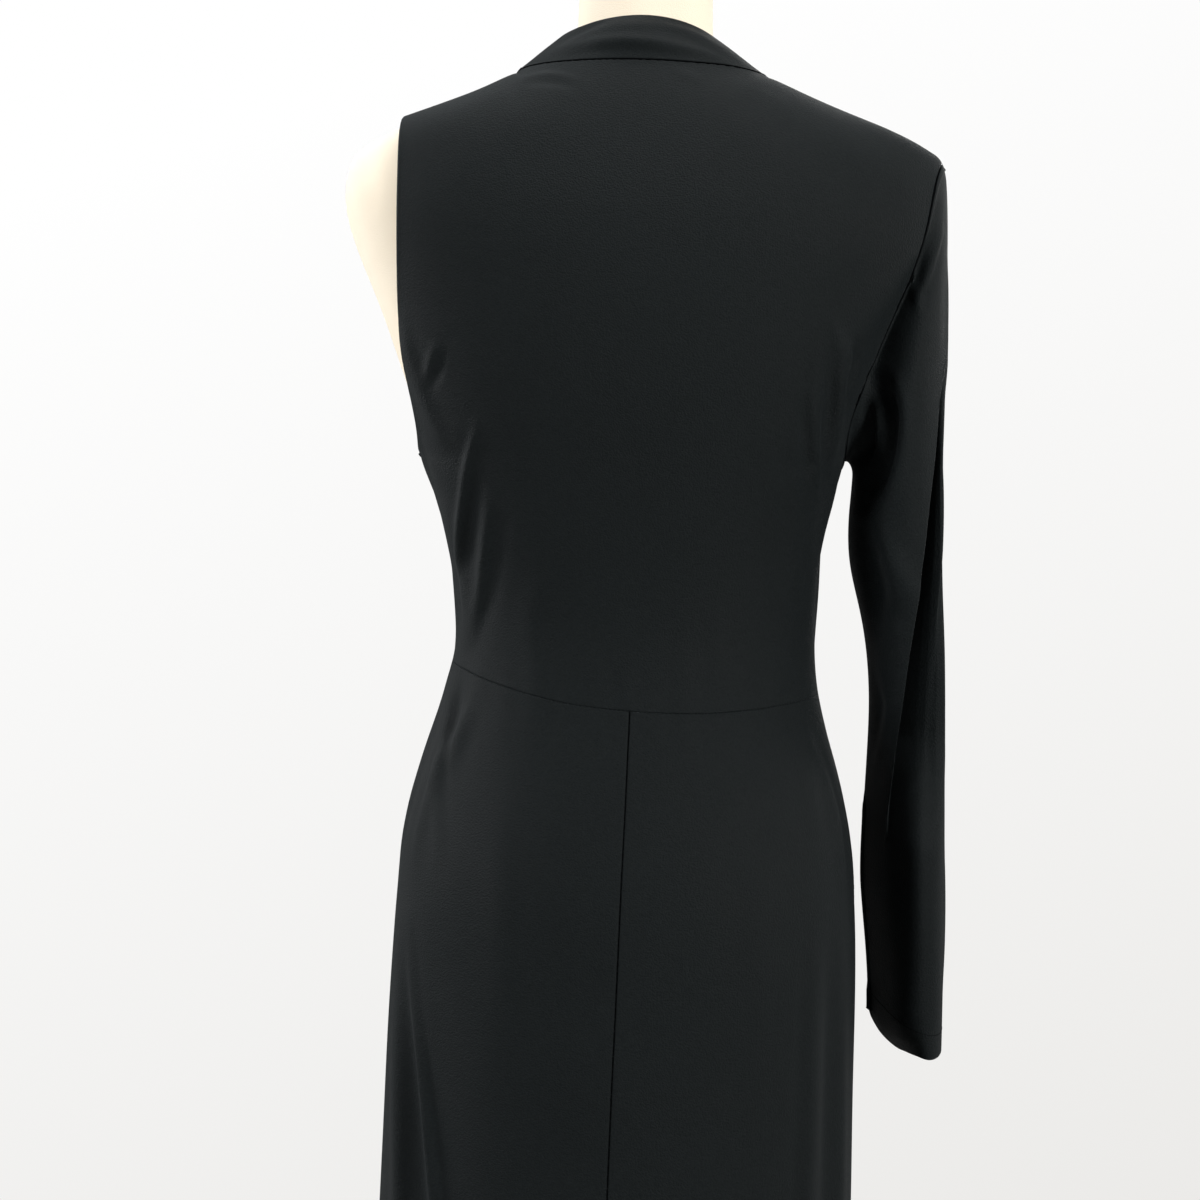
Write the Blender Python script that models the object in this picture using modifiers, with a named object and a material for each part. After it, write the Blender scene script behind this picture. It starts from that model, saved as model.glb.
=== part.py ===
"""A one-sleeved column gown in black jersey, standing on a limbless dress form.

Metres, +Z up. The gown's back is to +Y and the wearer's left is to +X. The origin is the middle of the
stand's underside. Angles run round the body from the wearer's left side, through the centre back.
"""
import math
from bisect import bisect_right

import bmesh
import bpy
from mathutils import Vector

# Cloth
WALL = 0.002                # thickness of every cloth wall
SEAM_GAP = 0.0003           # space between two pieces at a seam
WAIST_Z = 1.037             # mean height of the waist seam at the two sides
WAIST_TILT = 0.008          # how far the seam rises at the left side and falls at the right
WAIST_DIP_BACK = 0.020      # how far it falls to the centre back
WAIST_DIP_FRONT = 0.006
NECK_Z = 1.456              # neck seam at the shoulders
NECK_DIP_BACK = 0.001
NECK_DIP_FRONT = 0.020
UNDERARM_Z = 1.186
SHOULDER_TIP_Z = {"left": 1.4217, "right": 1.3980}
FRONT_SCOOP = 0.012         # how much deeper the front of an armhole is cut
HEM_Z = 0.036
SKIRT_TWIST = 0.11          # how far the skirt's seams turn round the body, in radians for each metre
HIP_ROWS_POWER = 1.35       # rows of the skirt lie closer over the hips

# How finely the cloth is divided
SIDE_ROWS = 7               # up the side seam
ARMHOLE_ROWS = 13           # up the armhole
SHOULDER_COLUMNS = {"left": 4, "right": 6}
NECK_COLUMNS = 12           # across the back or the front neck
SKIRT_ROWS = 14
WAIST_COLUMNS = SHOULDER_COLUMNS["left"] + NECK_COLUMNS + SHOULDER_COLUMNS["right"]
FINE = 24                   # small steps inside each even step along an edge
SETTLE_STEPS = 6            # steps that bring a point onto the skin

# Dress form and stand
FORM_BOTTOM_Z = 0.745
FORM_LIP = 0.016            # how far the form's lower edge is inside the gown
FORM_COLUMNS = 36
FIT_GAP = 0.0003            # between the form, the pole and the base
POLE_RADIUS = 0.015
BASE_RADIUS = 0.170
BASE_THICKNESS = 0.012
HUB_RADIUS = 0.028
HUB_HEIGHT = 0.040
ROUND_STEPS = 64


class Table:
    """Rows of numbers with named columns, read smoothly along the first column."""

    def __init__(self, names, *rows):
        self.keys = [row[0] for row in rows]
        self.columns = {name: [row[i] for row in rows] for i, name in enumerate(names)}

    def slope(self, values, i):
        """Slope at row i of a cubic that never overshoots the rows."""
        keys = self.keys
        before = after = None
        if i > 0:
            before = (values[i] - values[i - 1]) / (keys[i] - keys[i - 1])
        if i < len(keys) - 1:
            after = (values[i + 1] - values[i]) / (keys[i + 1] - keys[i])
        if before is None:
            return after
        if after is None:
            return before
        return 2 * before * after / (before + after) if before * after > 0 else 0.0

    def at(self, name, key):
        """Value of a column where the first column has the value key."""
        values = self.columns[name]
        i = min(max(bisect_right(self.keys, key) - 1, 0), len(self.keys) - 2)
        width = self.keys[i + 1] - self.keys[i]
        t = min(max((key - self.keys[i]) / width, 0.0), 1.0)
        start = values[i]
        end = values[i + 1]
        rise_in = self.slope(values, i) * width
        rise_out = self.slope(values, i + 1) * width
        return (start * (1 + 2 * t) * (1 - t) ** 2 + rise_in * t * (1 - t) ** 2
                + end * t * t * (3 - 2 * t) + rise_out * t * t * (t - 1))


# The gown's outer skin: half widths to the wearer's left and right, depths behind and before the
# stand's axis, and how square each level section is (2 is an ellipse).
BODY = Table(
    ("height", "left", "right", "back", "front", "power"),
    (0.000, 0.1850, 0.1850, 0.1600, 0.1560, 2.10),
    (0.350, 0.1745, 0.1740, 0.1480, 0.1390, 2.12),
    (0.670, 0.1635, 0.1630, 0.1370, 0.1240, 2.15),
    (0.800, 0.1610, 0.1630, 0.1310, 0.1165, 2.18),
    (0.860, 0.1585, 0.1625, 0.1275, 0.1130, 2.20),
    (0.900, 0.1563, 0.1600, 0.1230, 0.1100, 2.20),
    (0.940, 0.1505, 0.1548, 0.1140, 0.1060, 2.20),
    (0.980, 0.1405, 0.1450, 0.1020, 0.1010, 2.20),
    (1.010, 0.1325, 0.1368, 0.0930, 0.0965, 2.20),
    (1.040, 0.1240, 0.1305, 0.0860, 0.0930, 2.20),
    (1.070, 0.1202, 0.1286, 0.0830, 0.0930, 2.20),
    (1.100, 0.1235, 0.1296, 0.0850, 0.0990, 2.20),
    (1.140, 0.1325, 0.1335, 0.0910, 0.1160, 2.25),
    (1.170, 0.1412, 0.1408, 0.0960, 0.1290, 2.35),
    (1.190, 0.1483, 0.1460, 0.0990, 0.1340, 2.45),
    (1.220, 0.1595, 0.1550, 0.1030, 0.1370, 2.55),
    (1.255, 0.1725, 0.1680, 0.1060, 0.1330, 2.60),
    (1.285, 0.1835, 0.1815, 0.1070, 0.1240, 2.60),
    (1.306, 0.1930, 0.1920, 0.1065, 0.1150, 2.60),
    (1.335, 0.2060, 0.2055, 0.1040, 0.1020, 2.60),
    (1.365, 0.2133, 0.2130, 0.0985, 0.0890, 2.55),
    (1.385, 0.2130, 0.2130, 0.0925, 0.0800, 2.50),
    (1.396, 0.2100, 0.2100, 0.0890, 0.0755, 2.45),
    (1.406, 0.2000, 0.2015, 0.0855, 0.0715, 2.40),
    (1.416, 0.1790, 0.1805, 0.0815, 0.0675, 2.30),
    (1.426, 0.1545, 0.1560, 0.0770, 0.0630, 2.20),
    (1.436, 0.1305, 0.1330, 0.0720, 0.0585, 2.10),
    (1.446, 0.1085, 0.1100, 0.0670, 0.0545, 2.05),
    (1.456, 0.0900, 0.0870, 0.0615, 0.0510, 2.00),
)

# The armholes as they are cut: distance from the middle of the body to the edge, at each height.
ARMHOLES = Table(
    ("height", "left", "right"),
    (1.186, 0.1475, 0.1450),
    (1.203, 0.1495, 0.1450),
    (1.222, 0.1540, 0.1480),
    (1.255, 0.1605, 0.1603),
    (1.285, 0.1632, 0.1720),
    (1.319, 0.1638, 0.1857),
    (1.352, 0.1644, 0.1945),
    (1.384, 0.1650, 0.2010),
    (1.398, 0.1654, 0.2090),
    (1.422, 0.1656, 0.2090),
)

# Soft folds of the skirt: where each ridge is, in degrees round the body, how wide it is and how far
# it stands out at the hem. A negative height is a trough. Each fades out at its top.
SKIRT_FOLDS = (
    # angle, width, height, top
    (24.0, 9.0, 0.006, 0.93),
    (41.0, 11.0, -0.005, 0.88),
    (57.0, 10.0, 0.005, 0.80),
    (118.0, 12.0, 0.004, 0.74),
    (149.0, 11.0, -0.006, 0.90),
    (166.0, 9.0, 0.005, 0.86),
    (205.0, 11.0, 0.005, 0.84),
    (228.0, 10.0, -0.005, 0.88),
    (259.0, 12.0, 0.006, 0.78),
    (291.0, 10.0, -0.006, 0.90),
    (316.0, 11.0, 0.005, 0.82),
    (338.0, 9.0, -0.004, 0.87),
)

# The sleeve's rings. Each is level across the sleeve between an inner point, next to the body, and an
# outer point, and it is deep from front to back about a middle. blend is how far the ring has left the
# shape of the armhole. The first ring is the armhole itself, and the second is a short way on from it.
SLEEVE_RINGS = Table(
    ("ring", "inner_x", "inner_z", "outer_x", "outer_z", "depth", "middle", "blend"),
    (0, -0.1450, 1.1860, -0.2090, 1.3980, 0.0480, 0.000, 0.00),
    (1, -0.1450, 1.1860, -0.2090, 1.3980, 0.0480, 0.000, 0.00),
    (2, -0.1482, 1.1925, -0.2124, 1.3890, 0.0500, 0.000, 0.35),
    (3, -0.1510, 1.1915, -0.2140, 1.3670, 0.0540, 0.000, 0.75),
    (4, -0.1530, 1.1850, -0.2144, 1.3300, 0.0580, 0.000, 1.00),
    (5, -0.1532, 1.1770, -0.2140, 1.2850, 0.0590, 0.000, 1.00),
    (6, -0.1526, 1.1660, -0.2148, 1.2300, 0.0585, -0.001, 1.00),
    (7, -0.1516, 1.1480, -0.2172, 1.1750, 0.0570, -0.002, 1.00),
    (8, -0.1535, 1.1180, -0.2195, 1.1260, 0.0550, -0.003, 1.00),
    (9, -0.1630, 1.0820, -0.2210, 1.0820, 0.0530, -0.004, 1.00),
    (10, -0.1690, 1.0400, -0.2225, 1.0400, 0.0510, -0.005, 1.00),
    (11, -0.1702, 0.9950, -0.2235, 0.9950, 0.0490, -0.007, 1.00),
    (12, -0.1712, 0.9500, -0.2243, 0.9500, 0.0470, -0.009, 1.00),
    (13, -0.1705, 0.9050, -0.2252, 0.9050, 0.0450, -0.011, 1.00),
    (14, -0.1728, 0.8620, -0.2267, 0.8570, 0.0430, -0.013, 1.00),
    (15, -0.1735, 0.8110, -0.2275, 0.7820, 0.0410, -0.015, 1.00),
)
# The long fold down the sleeve: how far round each ring it is, in degrees from the inner side through
# the back, and how far it stands out.
SLEEVE_RIDGE = Table(
    ("ring", "turn", "height"),
    (4, 172.0, 0.0),
    (6, 160.0, 0.003),
    (9, 130.0, 0.005),
    (11, 100.0, 0.005),
    (13, 84.0, 0.003),
    (15, 78.0, 0.002),
)
LEAVE = 0.003               # how far the sleeve runs on in line with the bodice before it turns
CUFF_DIP = 0.013            # how far the back of the cuff hangs below the line between its sides
RIDGE_WIDTH = 17.0          # degrees
TROUGH_AFTER = 24.0         # degrees from the ridge to the trough beside it

# The collar from the neck seam up: how far each ring has moved to the top edge, and how far it stands
# out from the straight line between the two.
COLLAR_RINGS = (
    # part of the way, stand out
    (0.00, 0.0000),
    (0.22, 0.0012),
    (0.46, 0.0034),
    (0.72, 0.0030),
    (1.00, 0.0000),
)
COLLAR_TOP = {"left": 0.0605, "right": 0.0520, "back": 0.0530, "front": 0.0600}
COLLAR_TOP_Z = 1.480        # top edge at the sides
COLLAR_RISE_BACK = 0.009
COLLAR_DROP_FRONT = 0.014
COLLAR_WAVES = 5            # soft waves of the fold that runs round the collar

# The form's neck: half width and depths behind and before the axis.
NECK = Table(
    ("height", "side", "back", "front"),
    (1.4600, 0.0700, 0.0535, 0.0480),
    (1.4650, 0.0590, 0.0510, 0.0475),
    (1.4700, 0.0520, 0.0495, 0.0472),
    (1.4760, 0.0486, 0.0483, 0.0470),
    (1.4860, 0.0474, 0.0473, 0.0470),
    (1.5200, 0.0468, 0.0468, 0.0470),
    (1.5310, 0.0462, 0.0462, 0.0464),
    (1.5350, 0.0430, 0.0430, 0.0432),
)
# The rings of the form under the gown, and how far each is inside the gown's outer skin.
FORM_RINGS = (
    # height, ease
    (0.762, 0.0050),
    (0.800, 0.0050),
    (0.850, 0.0050),
    (0.900, 0.0050),
    (0.940, 0.0050),
    (0.975, 0.0050),
    (1.010, 0.0050),
    (1.040, 0.0050),
    (1.070, 0.0050),
    (1.105, 0.0050),
    (1.140, 0.0050),
    (1.170, 0.0050),
    (1.200, 0.0050),
    (1.230, 0.0050),
    (1.258, 0.0050),
    (1.286, 0.0050),
    (1.314, 0.0050),
    (1.342, 0.0050),
    (1.365, 0.0055),
    (1.383, 0.0070),
    (1.395, 0.0080),
    (1.405, 0.0075),
    (1.415, 0.0060),
    (1.425, 0.0055),
    (1.436, 0.0050),
    (1.447, 0.0050),
    (1.456, 0.0050),
)


def superellipse(angle, half_width, depth, power):
    """Point of a rounded section, with its half width along X and its depth along Y."""
    cosine = math.cos(angle)
    sine = math.sin(angle)
    x = math.copysign(abs(cosine) ** (2 / power), cosine) * half_width
    y = math.copysign(abs(sine) ** (2 / power), sine) * depth
    return x, y


def body_point(angle, height):
    """Point of the gown's outer skin."""
    half_width = BODY.at("left" if math.cos(angle) > 0 else "right", height)
    depth = BODY.at("back" if math.sin(angle) > 0 else "front", height)
    x, y = superellipse(angle, half_width, depth, BODY.at("power", height))
    return Vector((x, y, height))


def outside(point):
    """Less than zero inside the gown's outer skin, zero on it and more than zero outside."""
    half_width = BODY.at("left" if point.x > 0 else "right", point.z)
    depth = BODY.at("back" if point.y > 0 else "front", point.z)
    power = BODY.at("power", point.z)
    total = (abs(point.x) / half_width) ** power + (abs(point.y) / depth) ** power
    return total ** (1 / power) - 1.0


def slope_at(point):
    """How fast outside() grows along each axis."""
    step = 0.0005
    slope = Vector()
    for axis in range(3):
        move = Vector()
        move[axis] = step
        slope[axis] = (outside(point + move) - outside(point - move)) / (2 * step)
    return slope


def settle(point):
    """Moves a point straight onto the gown's outer skin."""
    for _ in range(SETTLE_STEPS):
        slope = slope_at(point)
        point = point - slope * (outside(point) / slope.length_squared)
    return point


def out_of(point):
    """Direction straight out of the skin at a point."""
    return slope_at(point).normalized()


def grid_normals(rows, closed):
    """Outward directions at the points of a grid whose rows run round and whose columns run down."""
    normals = []
    last = len(rows) - 1
    for j, row in enumerate(rows):
        count = len(row)
        above = rows[max(j - 1, 0)]
        below = rows[min(j + 1, last)]
        line = []
        for i in range(count):
            ahead = (i + 1) % count if closed else min(i + 1, count - 1)
            behind = (i - 1) % count if closed else max(i - 1, 0)
            out = (row[ahead] - row[behind]).cross(above[i] - below[i]).normalized()
            line.append(out)
        normals.append(line)
    return normals


def inward(point, normal, deep, before, after):
    """Direction along the cloth from an edge's point into the piece, square to the edge."""
    into = normal.cross(after - before).normalized()
    return into if into.dot(deep - point) > 0 else -into


def draw_in(rows, normals, seams, closed=False):
    """Moves the seam edges of a grid into the piece by half of the seam gap."""
    half = SEAM_GAP / 2
    moved = [[point.copy() for point in row] for row in rows]
    last = len(rows) - 1
    width = len(rows[0])
    for name, j, deep in (("first_row", 0, 3), ("last_row", last, last - 3)):
        if name not in seams:
            continue
        for i, point in enumerate(rows[j]):
            before = rows[j][(i - 1) % width if closed else max(i - 1, 0)]
            after = rows[j][(i + 1) % width if closed else min(i + 1, width - 1)]
            moved[j][i] += inward(point, normals[j][i], rows[deep][i], before, after) * half
    for name, i, deep in (("first_column", 0, 3), ("last_column", width - 1, width - 4)):
        if name not in seams:
            continue
        for j, row in enumerate(rows):
            before = rows[max(j - 1, 0)][i]
            after = rows[min(j + 1, last)][i]
            moved[j][i] += inward(row[i], normals[j][i], row[deep], before, after) * half
    return moved


def material(name, colour, roughness, metallic=0.0):
    """A Principled material with one finish."""
    made = bpy.data.materials.new(name)
    made.use_nodes = True
    shader = made.node_tree.nodes["Principled BSDF"]
    shader.inputs["Base Color"].default_value = (*colour, 1.0)
    shader.inputs["Roughness"].default_value = roughness
    shader.inputs["Metallic"].default_value = metallic
    return made


def finish_object(name, bm, parts, finish):
    """Turns a bmesh into one of the object's pieces."""
    bmesh.ops.recalc_face_normals(bm, faces=bm.faces)
    mesh = bpy.data.meshes.new(name)
    bm.to_mesh(mesh)
    bm.free()
    mesh.materials.append(finish)
    mesh.shade_smooth()
    mesh.set_sharp_from_angle(angle=math.radians(40))
    piece = bpy.data.objects.new(name, mesh)
    parts.objects.link(piece)
    return piece


def rim(bm, outer, inner, i, k):
    """Closes the wall between two edge points. Pieces that meet at a seam split it the same way."""
    def key(vert):
        return vert.co.dot(Vector((0.37, 0.21, 1.0)))

    if key(outer[i]) < key(outer[k]):
        i, k = k, i
    bm.faces.new((outer[i], outer[k], inner[k]))
    bm.faces.new((outer[i], inner[k], inner[i]))


def cloth(name, rows, normals, parts, finish, closed=False):
    """A cloth wall: the rows of points are its outer skin, and its inner skin is one wall further in."""
    bm = bmesh.new()
    outer = [[bm.verts.new(point) for point in row] for row in rows]
    inner = [[bm.verts.new(point - normal * WALL) for point, normal in zip(row, line)]
             for row, line in zip(rows, normals)]
    count = len(rows[0])
    spans = [(i, (i + 1) % count) for i in range(count if closed else count - 1)]
    for skin in (outer, inner):
        for upper, lower in zip(skin, skin[1:]):
            for i, k in spans:
                bm.faces.new((upper[i], upper[k], lower[k], lower[i]))
    for j in (0, -1):
        for i, k in spans:
            rim(bm, outer[j], inner[j], i, k)
    if not closed:
        for i in (0, -1):
            outer_side = [row[i] for row in outer]
            inner_side = [row[i] for row in inner]
            for j in range(len(rows) - 1):
                rim(bm, outer_side, inner_side, j, j + 1)
    return finish_object(name, bm, parts, finish)


def waist_height(angle):
    """Height of the waist seam."""
    dip = WAIST_DIP_BACK if math.sin(angle) > 0 else WAIST_DIP_FRONT
    return WAIST_Z + WAIST_TILT * math.cos(angle) - dip * math.sin(angle) ** 2


def neck_height(angle):
    """Height of the neck seam."""
    dip = NECK_DIP_BACK if math.sin(angle) > 0 else NECK_DIP_FRONT
    return NECK_Z - dip * math.sin(angle) ** 2


def even_steps(path, count):
    """Thins a path of points to count + 1, evenly spaced along it."""
    lengths = [0.0]
    for before, after in zip(path, path[1:]):
        lengths.append(lengths[-1] + (after - before).length)
    picked = []
    for k in range(count + 1):
        goal = lengths[-1] * k / count
        i = min(bisect_right(lengths, goal), len(lengths) - 1)
        t = (goal - lengths[i - 1]) / (lengths[i] - lengths[i - 1])
        picked.append(path[i - 1].lerp(path[i], t))
    return picked


def armhole(side, face):
    """An armhole's edge on the front or the back, from the underarm up to the shoulder tip."""
    tip = SHOULDER_TIP_Z[side]
    path = []
    steps = ARMHOLE_ROWS * FINE
    for k in range(steps + 1):
        part = math.sin(math.pi / 2 * k / steps)
        height = UNDERARM_Z + (tip - UNDERARM_Z) * part
        half_power = BODY.at("power", height) / 2
        reach = ARMHOLES.at(side, height) / BODY.at(side, height)
        if k in (0, steps):
            reach = 1.0
        turn = math.acos(min(reach, 1.0) ** half_power)
        if face < 0:
            deep = body_point(turn, height).y + FRONT_SCOOP * math.sin(math.pi * part)
            share = min(deep / BODY.at("front", height), 1.0)
            turn = min(turn, math.asin(share ** half_power))
        path.append(body_point(face * (turn if side == "left" else math.pi - turn), height))
    return even_steps(path, ARMHOLE_ROWS)


def bodice_edge(side, face):
    """The side seam and then the armhole, from the waist up."""
    angle = 0.0 if side == "left" else math.pi
    start = waist_height(angle)
    steps = SIDE_ROWS * FINE
    path = [body_point(angle, start + (UNDERARM_Z - start) * k / steps) for k in range(steps + 1)]
    return even_steps(path, SIDE_ROWS) + armhole(side, face)[1:]


def shoulder_seam(side):
    """A shoulder seam from its tip up to the neck seam."""
    angle = 0.0 if side == "left" else math.pi
    tip = SHOULDER_TIP_Z[side]
    steps = SHOULDER_COLUMNS[side] * FINE
    path = [body_point(angle, tip + (NECK_Z - tip) * k / steps) for k in range(steps + 1)]
    return even_steps(path, SHOULDER_COLUMNS[side])


def neck_seam(face):
    """The neck seam across the front or the back, from the left shoulder to the right."""
    steps = NECK_COLUMNS * FINE
    angles = [face * math.pi * k / steps for k in range(steps + 1)]
    return even_steps([body_point(angle, neck_height(angle)) for angle in angles], NECK_COLUMNS)


def waist_seam(face):
    """The waist seam across the front or the back, from the left side to the right."""
    angles = [face * math.pi * i / WAIST_COLUMNS for i in range(WAIST_COLUMNS + 1)]
    return [body_point(angle, waist_height(angle)) for angle in angles]


def late(part):
    """Goes from 0 to 1, slowly at first and evenly at the end, so rows stay level under the arms."""
    return part ** 3 * (3 - 2 * part)


def bodice(name, face, parts, finish):
    """The back (face 1) or front (face -1) of the bodice, laid over the body between its four edges."""
    left = bodice_edge("left", face)
    right = bodice_edge("right", face)
    top = shoulder_seam("left") + neck_seam(face)[1:] + shoulder_seam("right")[::-1][1:]
    bottom = waist_seam(face)
    last = len(left) - 1
    rows = []
    for j in range(last, -1, -1):
        v = j / last
        row = []
        for i in range(WAIST_COLUMNS + 1):
            u = i / WAIST_COLUMNS
            across = left[j].lerp(right[j], u)
            over = top[i] - top[0].lerp(top[-1], u)
            under = bottom[i] - bottom[0].lerp(bottom[-1], u)
            point = across + over * v + under * (1 - v)
            point.z = across.z + over.z * late(v) + under.z * late(1 - v)
            on_edge = j in (0, last) or i in (0, WAIST_COLUMNS)
            row.append(point if on_edge else settle(point))
        rows.append(row)
    normals = [[out_of(point) for point in row] for row in rows]
    rows = draw_in(rows, normals, ("first_row", "last_row", "first_column", "last_column"))
    return cloth(name, rows, normals, parts, finish)


def fold_height(angle, height):
    """How far the skirt's folds stand out of its plain form."""
    total = 0.0
    for ridge, width, rise, top in SKIRT_FOLDS:
        if height < top:
            away = (math.degrees(angle) - ridge + 180.0) % 360.0 - 180.0
            down = (top - height) / (top - HEM_Z)
            total += rise * down ** 0.8 * math.exp(-(away / width) ** 2)
    return total


def skirt(name, first, last, parts, finish):
    """A skirt panel between two of the waist's columns."""
    rows = []
    normals = []
    for j in range(SKIRT_ROWS + 1):
        part = (j / SKIRT_ROWS) ** HIP_ROWS_POWER
        row = []
        line = []
        for i in range(first, last + 1):
            waist_angle = math.pi * i / WAIST_COLUMNS
            start = waist_height(waist_angle)
            height = start + (HEM_Z - start) * part
            angle = waist_angle - SKIRT_TWIST * (start - height)
            point = body_point(angle, height)
            normal = out_of(point)
            row.append(point + normal * fold_height(angle, height))
            line.append(normal)
        rows.append(row)
        normals.append(line)
    rows = draw_in(rows, normals, ("first_row", "first_column", "last_column"))
    return cloth(name, rows, normals, parts, finish)


def armhole_loop():
    """Points round the right armhole: from the underarm, up the back and down the front."""
    return armhole("right", 1) + armhole("right", -1)[::-1][1:-1]


def step_on(loop, length):
    """Points a short way on from a loop, along the body's skin and towards the loop's middle."""
    middle = sum(loop, Vector()) / len(loop)
    moved = []
    for i, point in enumerate(loop):
        along = loop[(i + 1) % len(loop)] - loop[i - 1]
        away = out_of(point).cross(along).normalized()
        if away.dot(middle - point) < 0:
            away = -away
        moved.append(point + away * length)
    return moved


def sleeve_ring(ring, start):
    """Points round one ring of the sleeve, starting at its inner side and passing the back first."""
    at = {name: SLEEVE_RINGS.at(name, ring) for name in SLEEVE_RINGS.columns}
    inner = Vector((at["inner_x"], at["middle"], at["inner_z"]))
    outer = Vector((at["outer_x"], at["middle"], at["outer_z"]))
    centre = (inner + outer) / 2
    half = (inner - outer) / 2
    ridge_turn = SLEEVE_RIDGE.at("turn", ring)
    ridge_height = SLEEVE_RIDGE.at("height", ring)
    dip = CUFF_DIP if ring == SLEEVE_RINGS.keys[-1] else 0.0
    points = []
    for i, begin in enumerate(start):
        turn = 2 * math.pi * i / len(start)
        out = half * math.cos(turn) + Vector((0.0, at["depth"], 0.0)) * math.sin(turn)
        degrees = math.degrees(turn)
        ridge = math.exp(-((degrees - ridge_turn) / RIDGE_WIDTH) ** 2)
        trough = math.exp(-((degrees - ridge_turn - TROUGH_AFTER) / RIDGE_WIDTH) ** 2)
        out += out.normalized() * ridge_height * (ridge - trough)
        out.z -= dip * max(math.sin(turn), 0.0)
        points.append(begin.lerp(centre + out, at["blend"]))
    return points


def sleeve(name, parts, finish):
    """The set-in sleeve, from the armhole round the top of the arm and down to its slanted cuff."""
    loop = armhole_loop()
    start = step_on(loop, LEAVE)
    rows = [loop] + [sleeve_ring(ring, start) for ring in SLEEVE_RINGS.keys[1:]]
    normals = grid_normals(rows, closed=True)
    normals[0] = [out_of(point) for point in loop]
    rows = draw_in(rows, normals, ("first_row",), closed=True)
    return cloth(name, rows, normals, parts, finish, closed=True)


def collar_top(angle):
    """Point of the collar's top edge."""
    side = COLLAR_TOP["left" if math.cos(angle) > 0 else "right"]
    depth = COLLAR_TOP["back" if math.sin(angle) > 0 else "front"]
    x, y = superellipse(angle, side, depth, 2.0)
    rise = COLLAR_RISE_BACK if math.sin(angle) > 0 else -COLLAR_DROP_FRONT
    return Vector((x, y, COLLAR_TOP_Z + rise * math.sin(angle) ** 2))


def collar(name, parts, finish):
    """The draped collar: a low funnel with one soft fold running round it."""
    seam = neck_seam(1) + neck_seam(-1)[::-1][1:-1]
    seam_normals = [out_of(point) for point in seam]
    rows = []
    for part, stand_out in COLLAR_RINGS:
        row = []
        for start, normal in zip(seam, seam_normals):
            angle = math.atan2(start.y / COLLAR_TOP["back"], start.x / COLLAR_TOP["left"])
            wave = (1 + 0.5 * math.sin(COLLAR_WAVES * angle + 0.8)) * math.sin(angle) ** 2
            row.append(start.lerp(collar_top(angle), part) + normal * stand_out * wave)
        rows.append(row)
    rows = rows[::-1]
    normals = grid_normals(rows, closed=True)
    normals[-1] = seam_normals
    rows = draw_in(rows, normals, ("last_row",), closed=True)
    return cloth(name, rows, normals, parts, finish, closed=True)


def form_torso(name, parts, finish):
    """The limbless form: the body's own shape a little inside the gown, with a plain neck."""
    rings = []
    angles = [2 * math.pi * i / FORM_COLUMNS for i in range(FORM_COLUMNS)]
    bottom = []
    for angle in angles:
        point = body_point(angle, FORM_BOTTOM_Z)
        bottom.append(point - Vector((*out_of(point).xy, 0.0)) * FORM_LIP)
    rings.append(bottom)
    for height, ease in FORM_RINGS:
        ring = [body_point(angle, height) for angle in angles]
        rings.append([point - out_of(point) * ease for point in ring])
    for height in NECK.keys:
        ring = []
        for angle in angles:
            depth = NECK.at("back" if math.sin(angle) > 0 else "front", height)
            x, y = superellipse(angle, NECK.at("side", height), depth, 2.0)
            ring.append(Vector((x, y, height)))
        rings.append(ring)
    bm = bmesh.new()
    loops = [[bm.verts.new(point) for point in ring] for ring in rings]
    for lower, upper in zip(loops, loops[1:]):
        for i in range(FORM_COLUMNS):
            k = (i + 1) % FORM_COLUMNS
            bm.faces.new((lower[i], lower[k], upper[k], upper[i]))
    bm.faces.new(loops[0][::-1])
    bm.faces.new(loops[-1])
    return finish_object(name, bm, parts, finish)


def form_pole(name, parts, finish):
    """The upright between the base's hub and the form."""
    bottom = HUB_HEIGHT + FIT_GAP
    top = FORM_BOTTOM_Z - FIT_GAP
    bpy.ops.mesh.primitive_cylinder_add(vertices=ROUND_STEPS // 2, radius=POLE_RADIUS, depth=top - bottom,
                                        location=(0.0, 0.0, (top + bottom) / 2))
    pole = bpy.context.active_object
    pole.name = name
    pole.data.name = name
    pole.data.materials.append(finish)
    pole.data.shade_smooth()
    pole.data.set_sharp_from_angle(angle=math.radians(40))
    for holder in pole.users_collection:
        holder.objects.unlink(pole)
    parts.objects.link(pole)
    return pole


def form_base(name, parts, finish):
    """The round plate with its hub, turned from one profile."""
    edge = 0.003
    profile = (
        (0.0, HUB_HEIGHT),
        (HUB_RADIUS - edge, HUB_HEIGHT),
        (HUB_RADIUS, HUB_HEIGHT - edge),
        (HUB_RADIUS, BASE_THICKNESS),
        (BASE_RADIUS - edge, BASE_THICKNESS - edge),
        (BASE_RADIUS, BASE_THICKNESS - 2 * edge),
        (BASE_RADIUS, edge / 2),
        (BASE_RADIUS - edge / 2, 0.0),
        (0.0, 0.0),
    )
    mesh = bpy.data.meshes.new(name)
    edges = [(i, i + 1) for i in range(len(profile) - 1)]
    mesh.from_pydata([(radius, 0.0, height) for radius, height in profile], edges, [])
    mesh.materials.append(finish)
    base = bpy.data.objects.new(name, mesh)
    parts.objects.link(base)
    turn = base.modifiers.new("Turn", "SCREW")
    turn.steps = ROUND_STEPS
    turn.render_steps = ROUND_STEPS
    turn.use_merge_vertices = True
    turn.merge_threshold = 0.0001
    turn.use_smooth_shade = False
    return base


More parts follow.
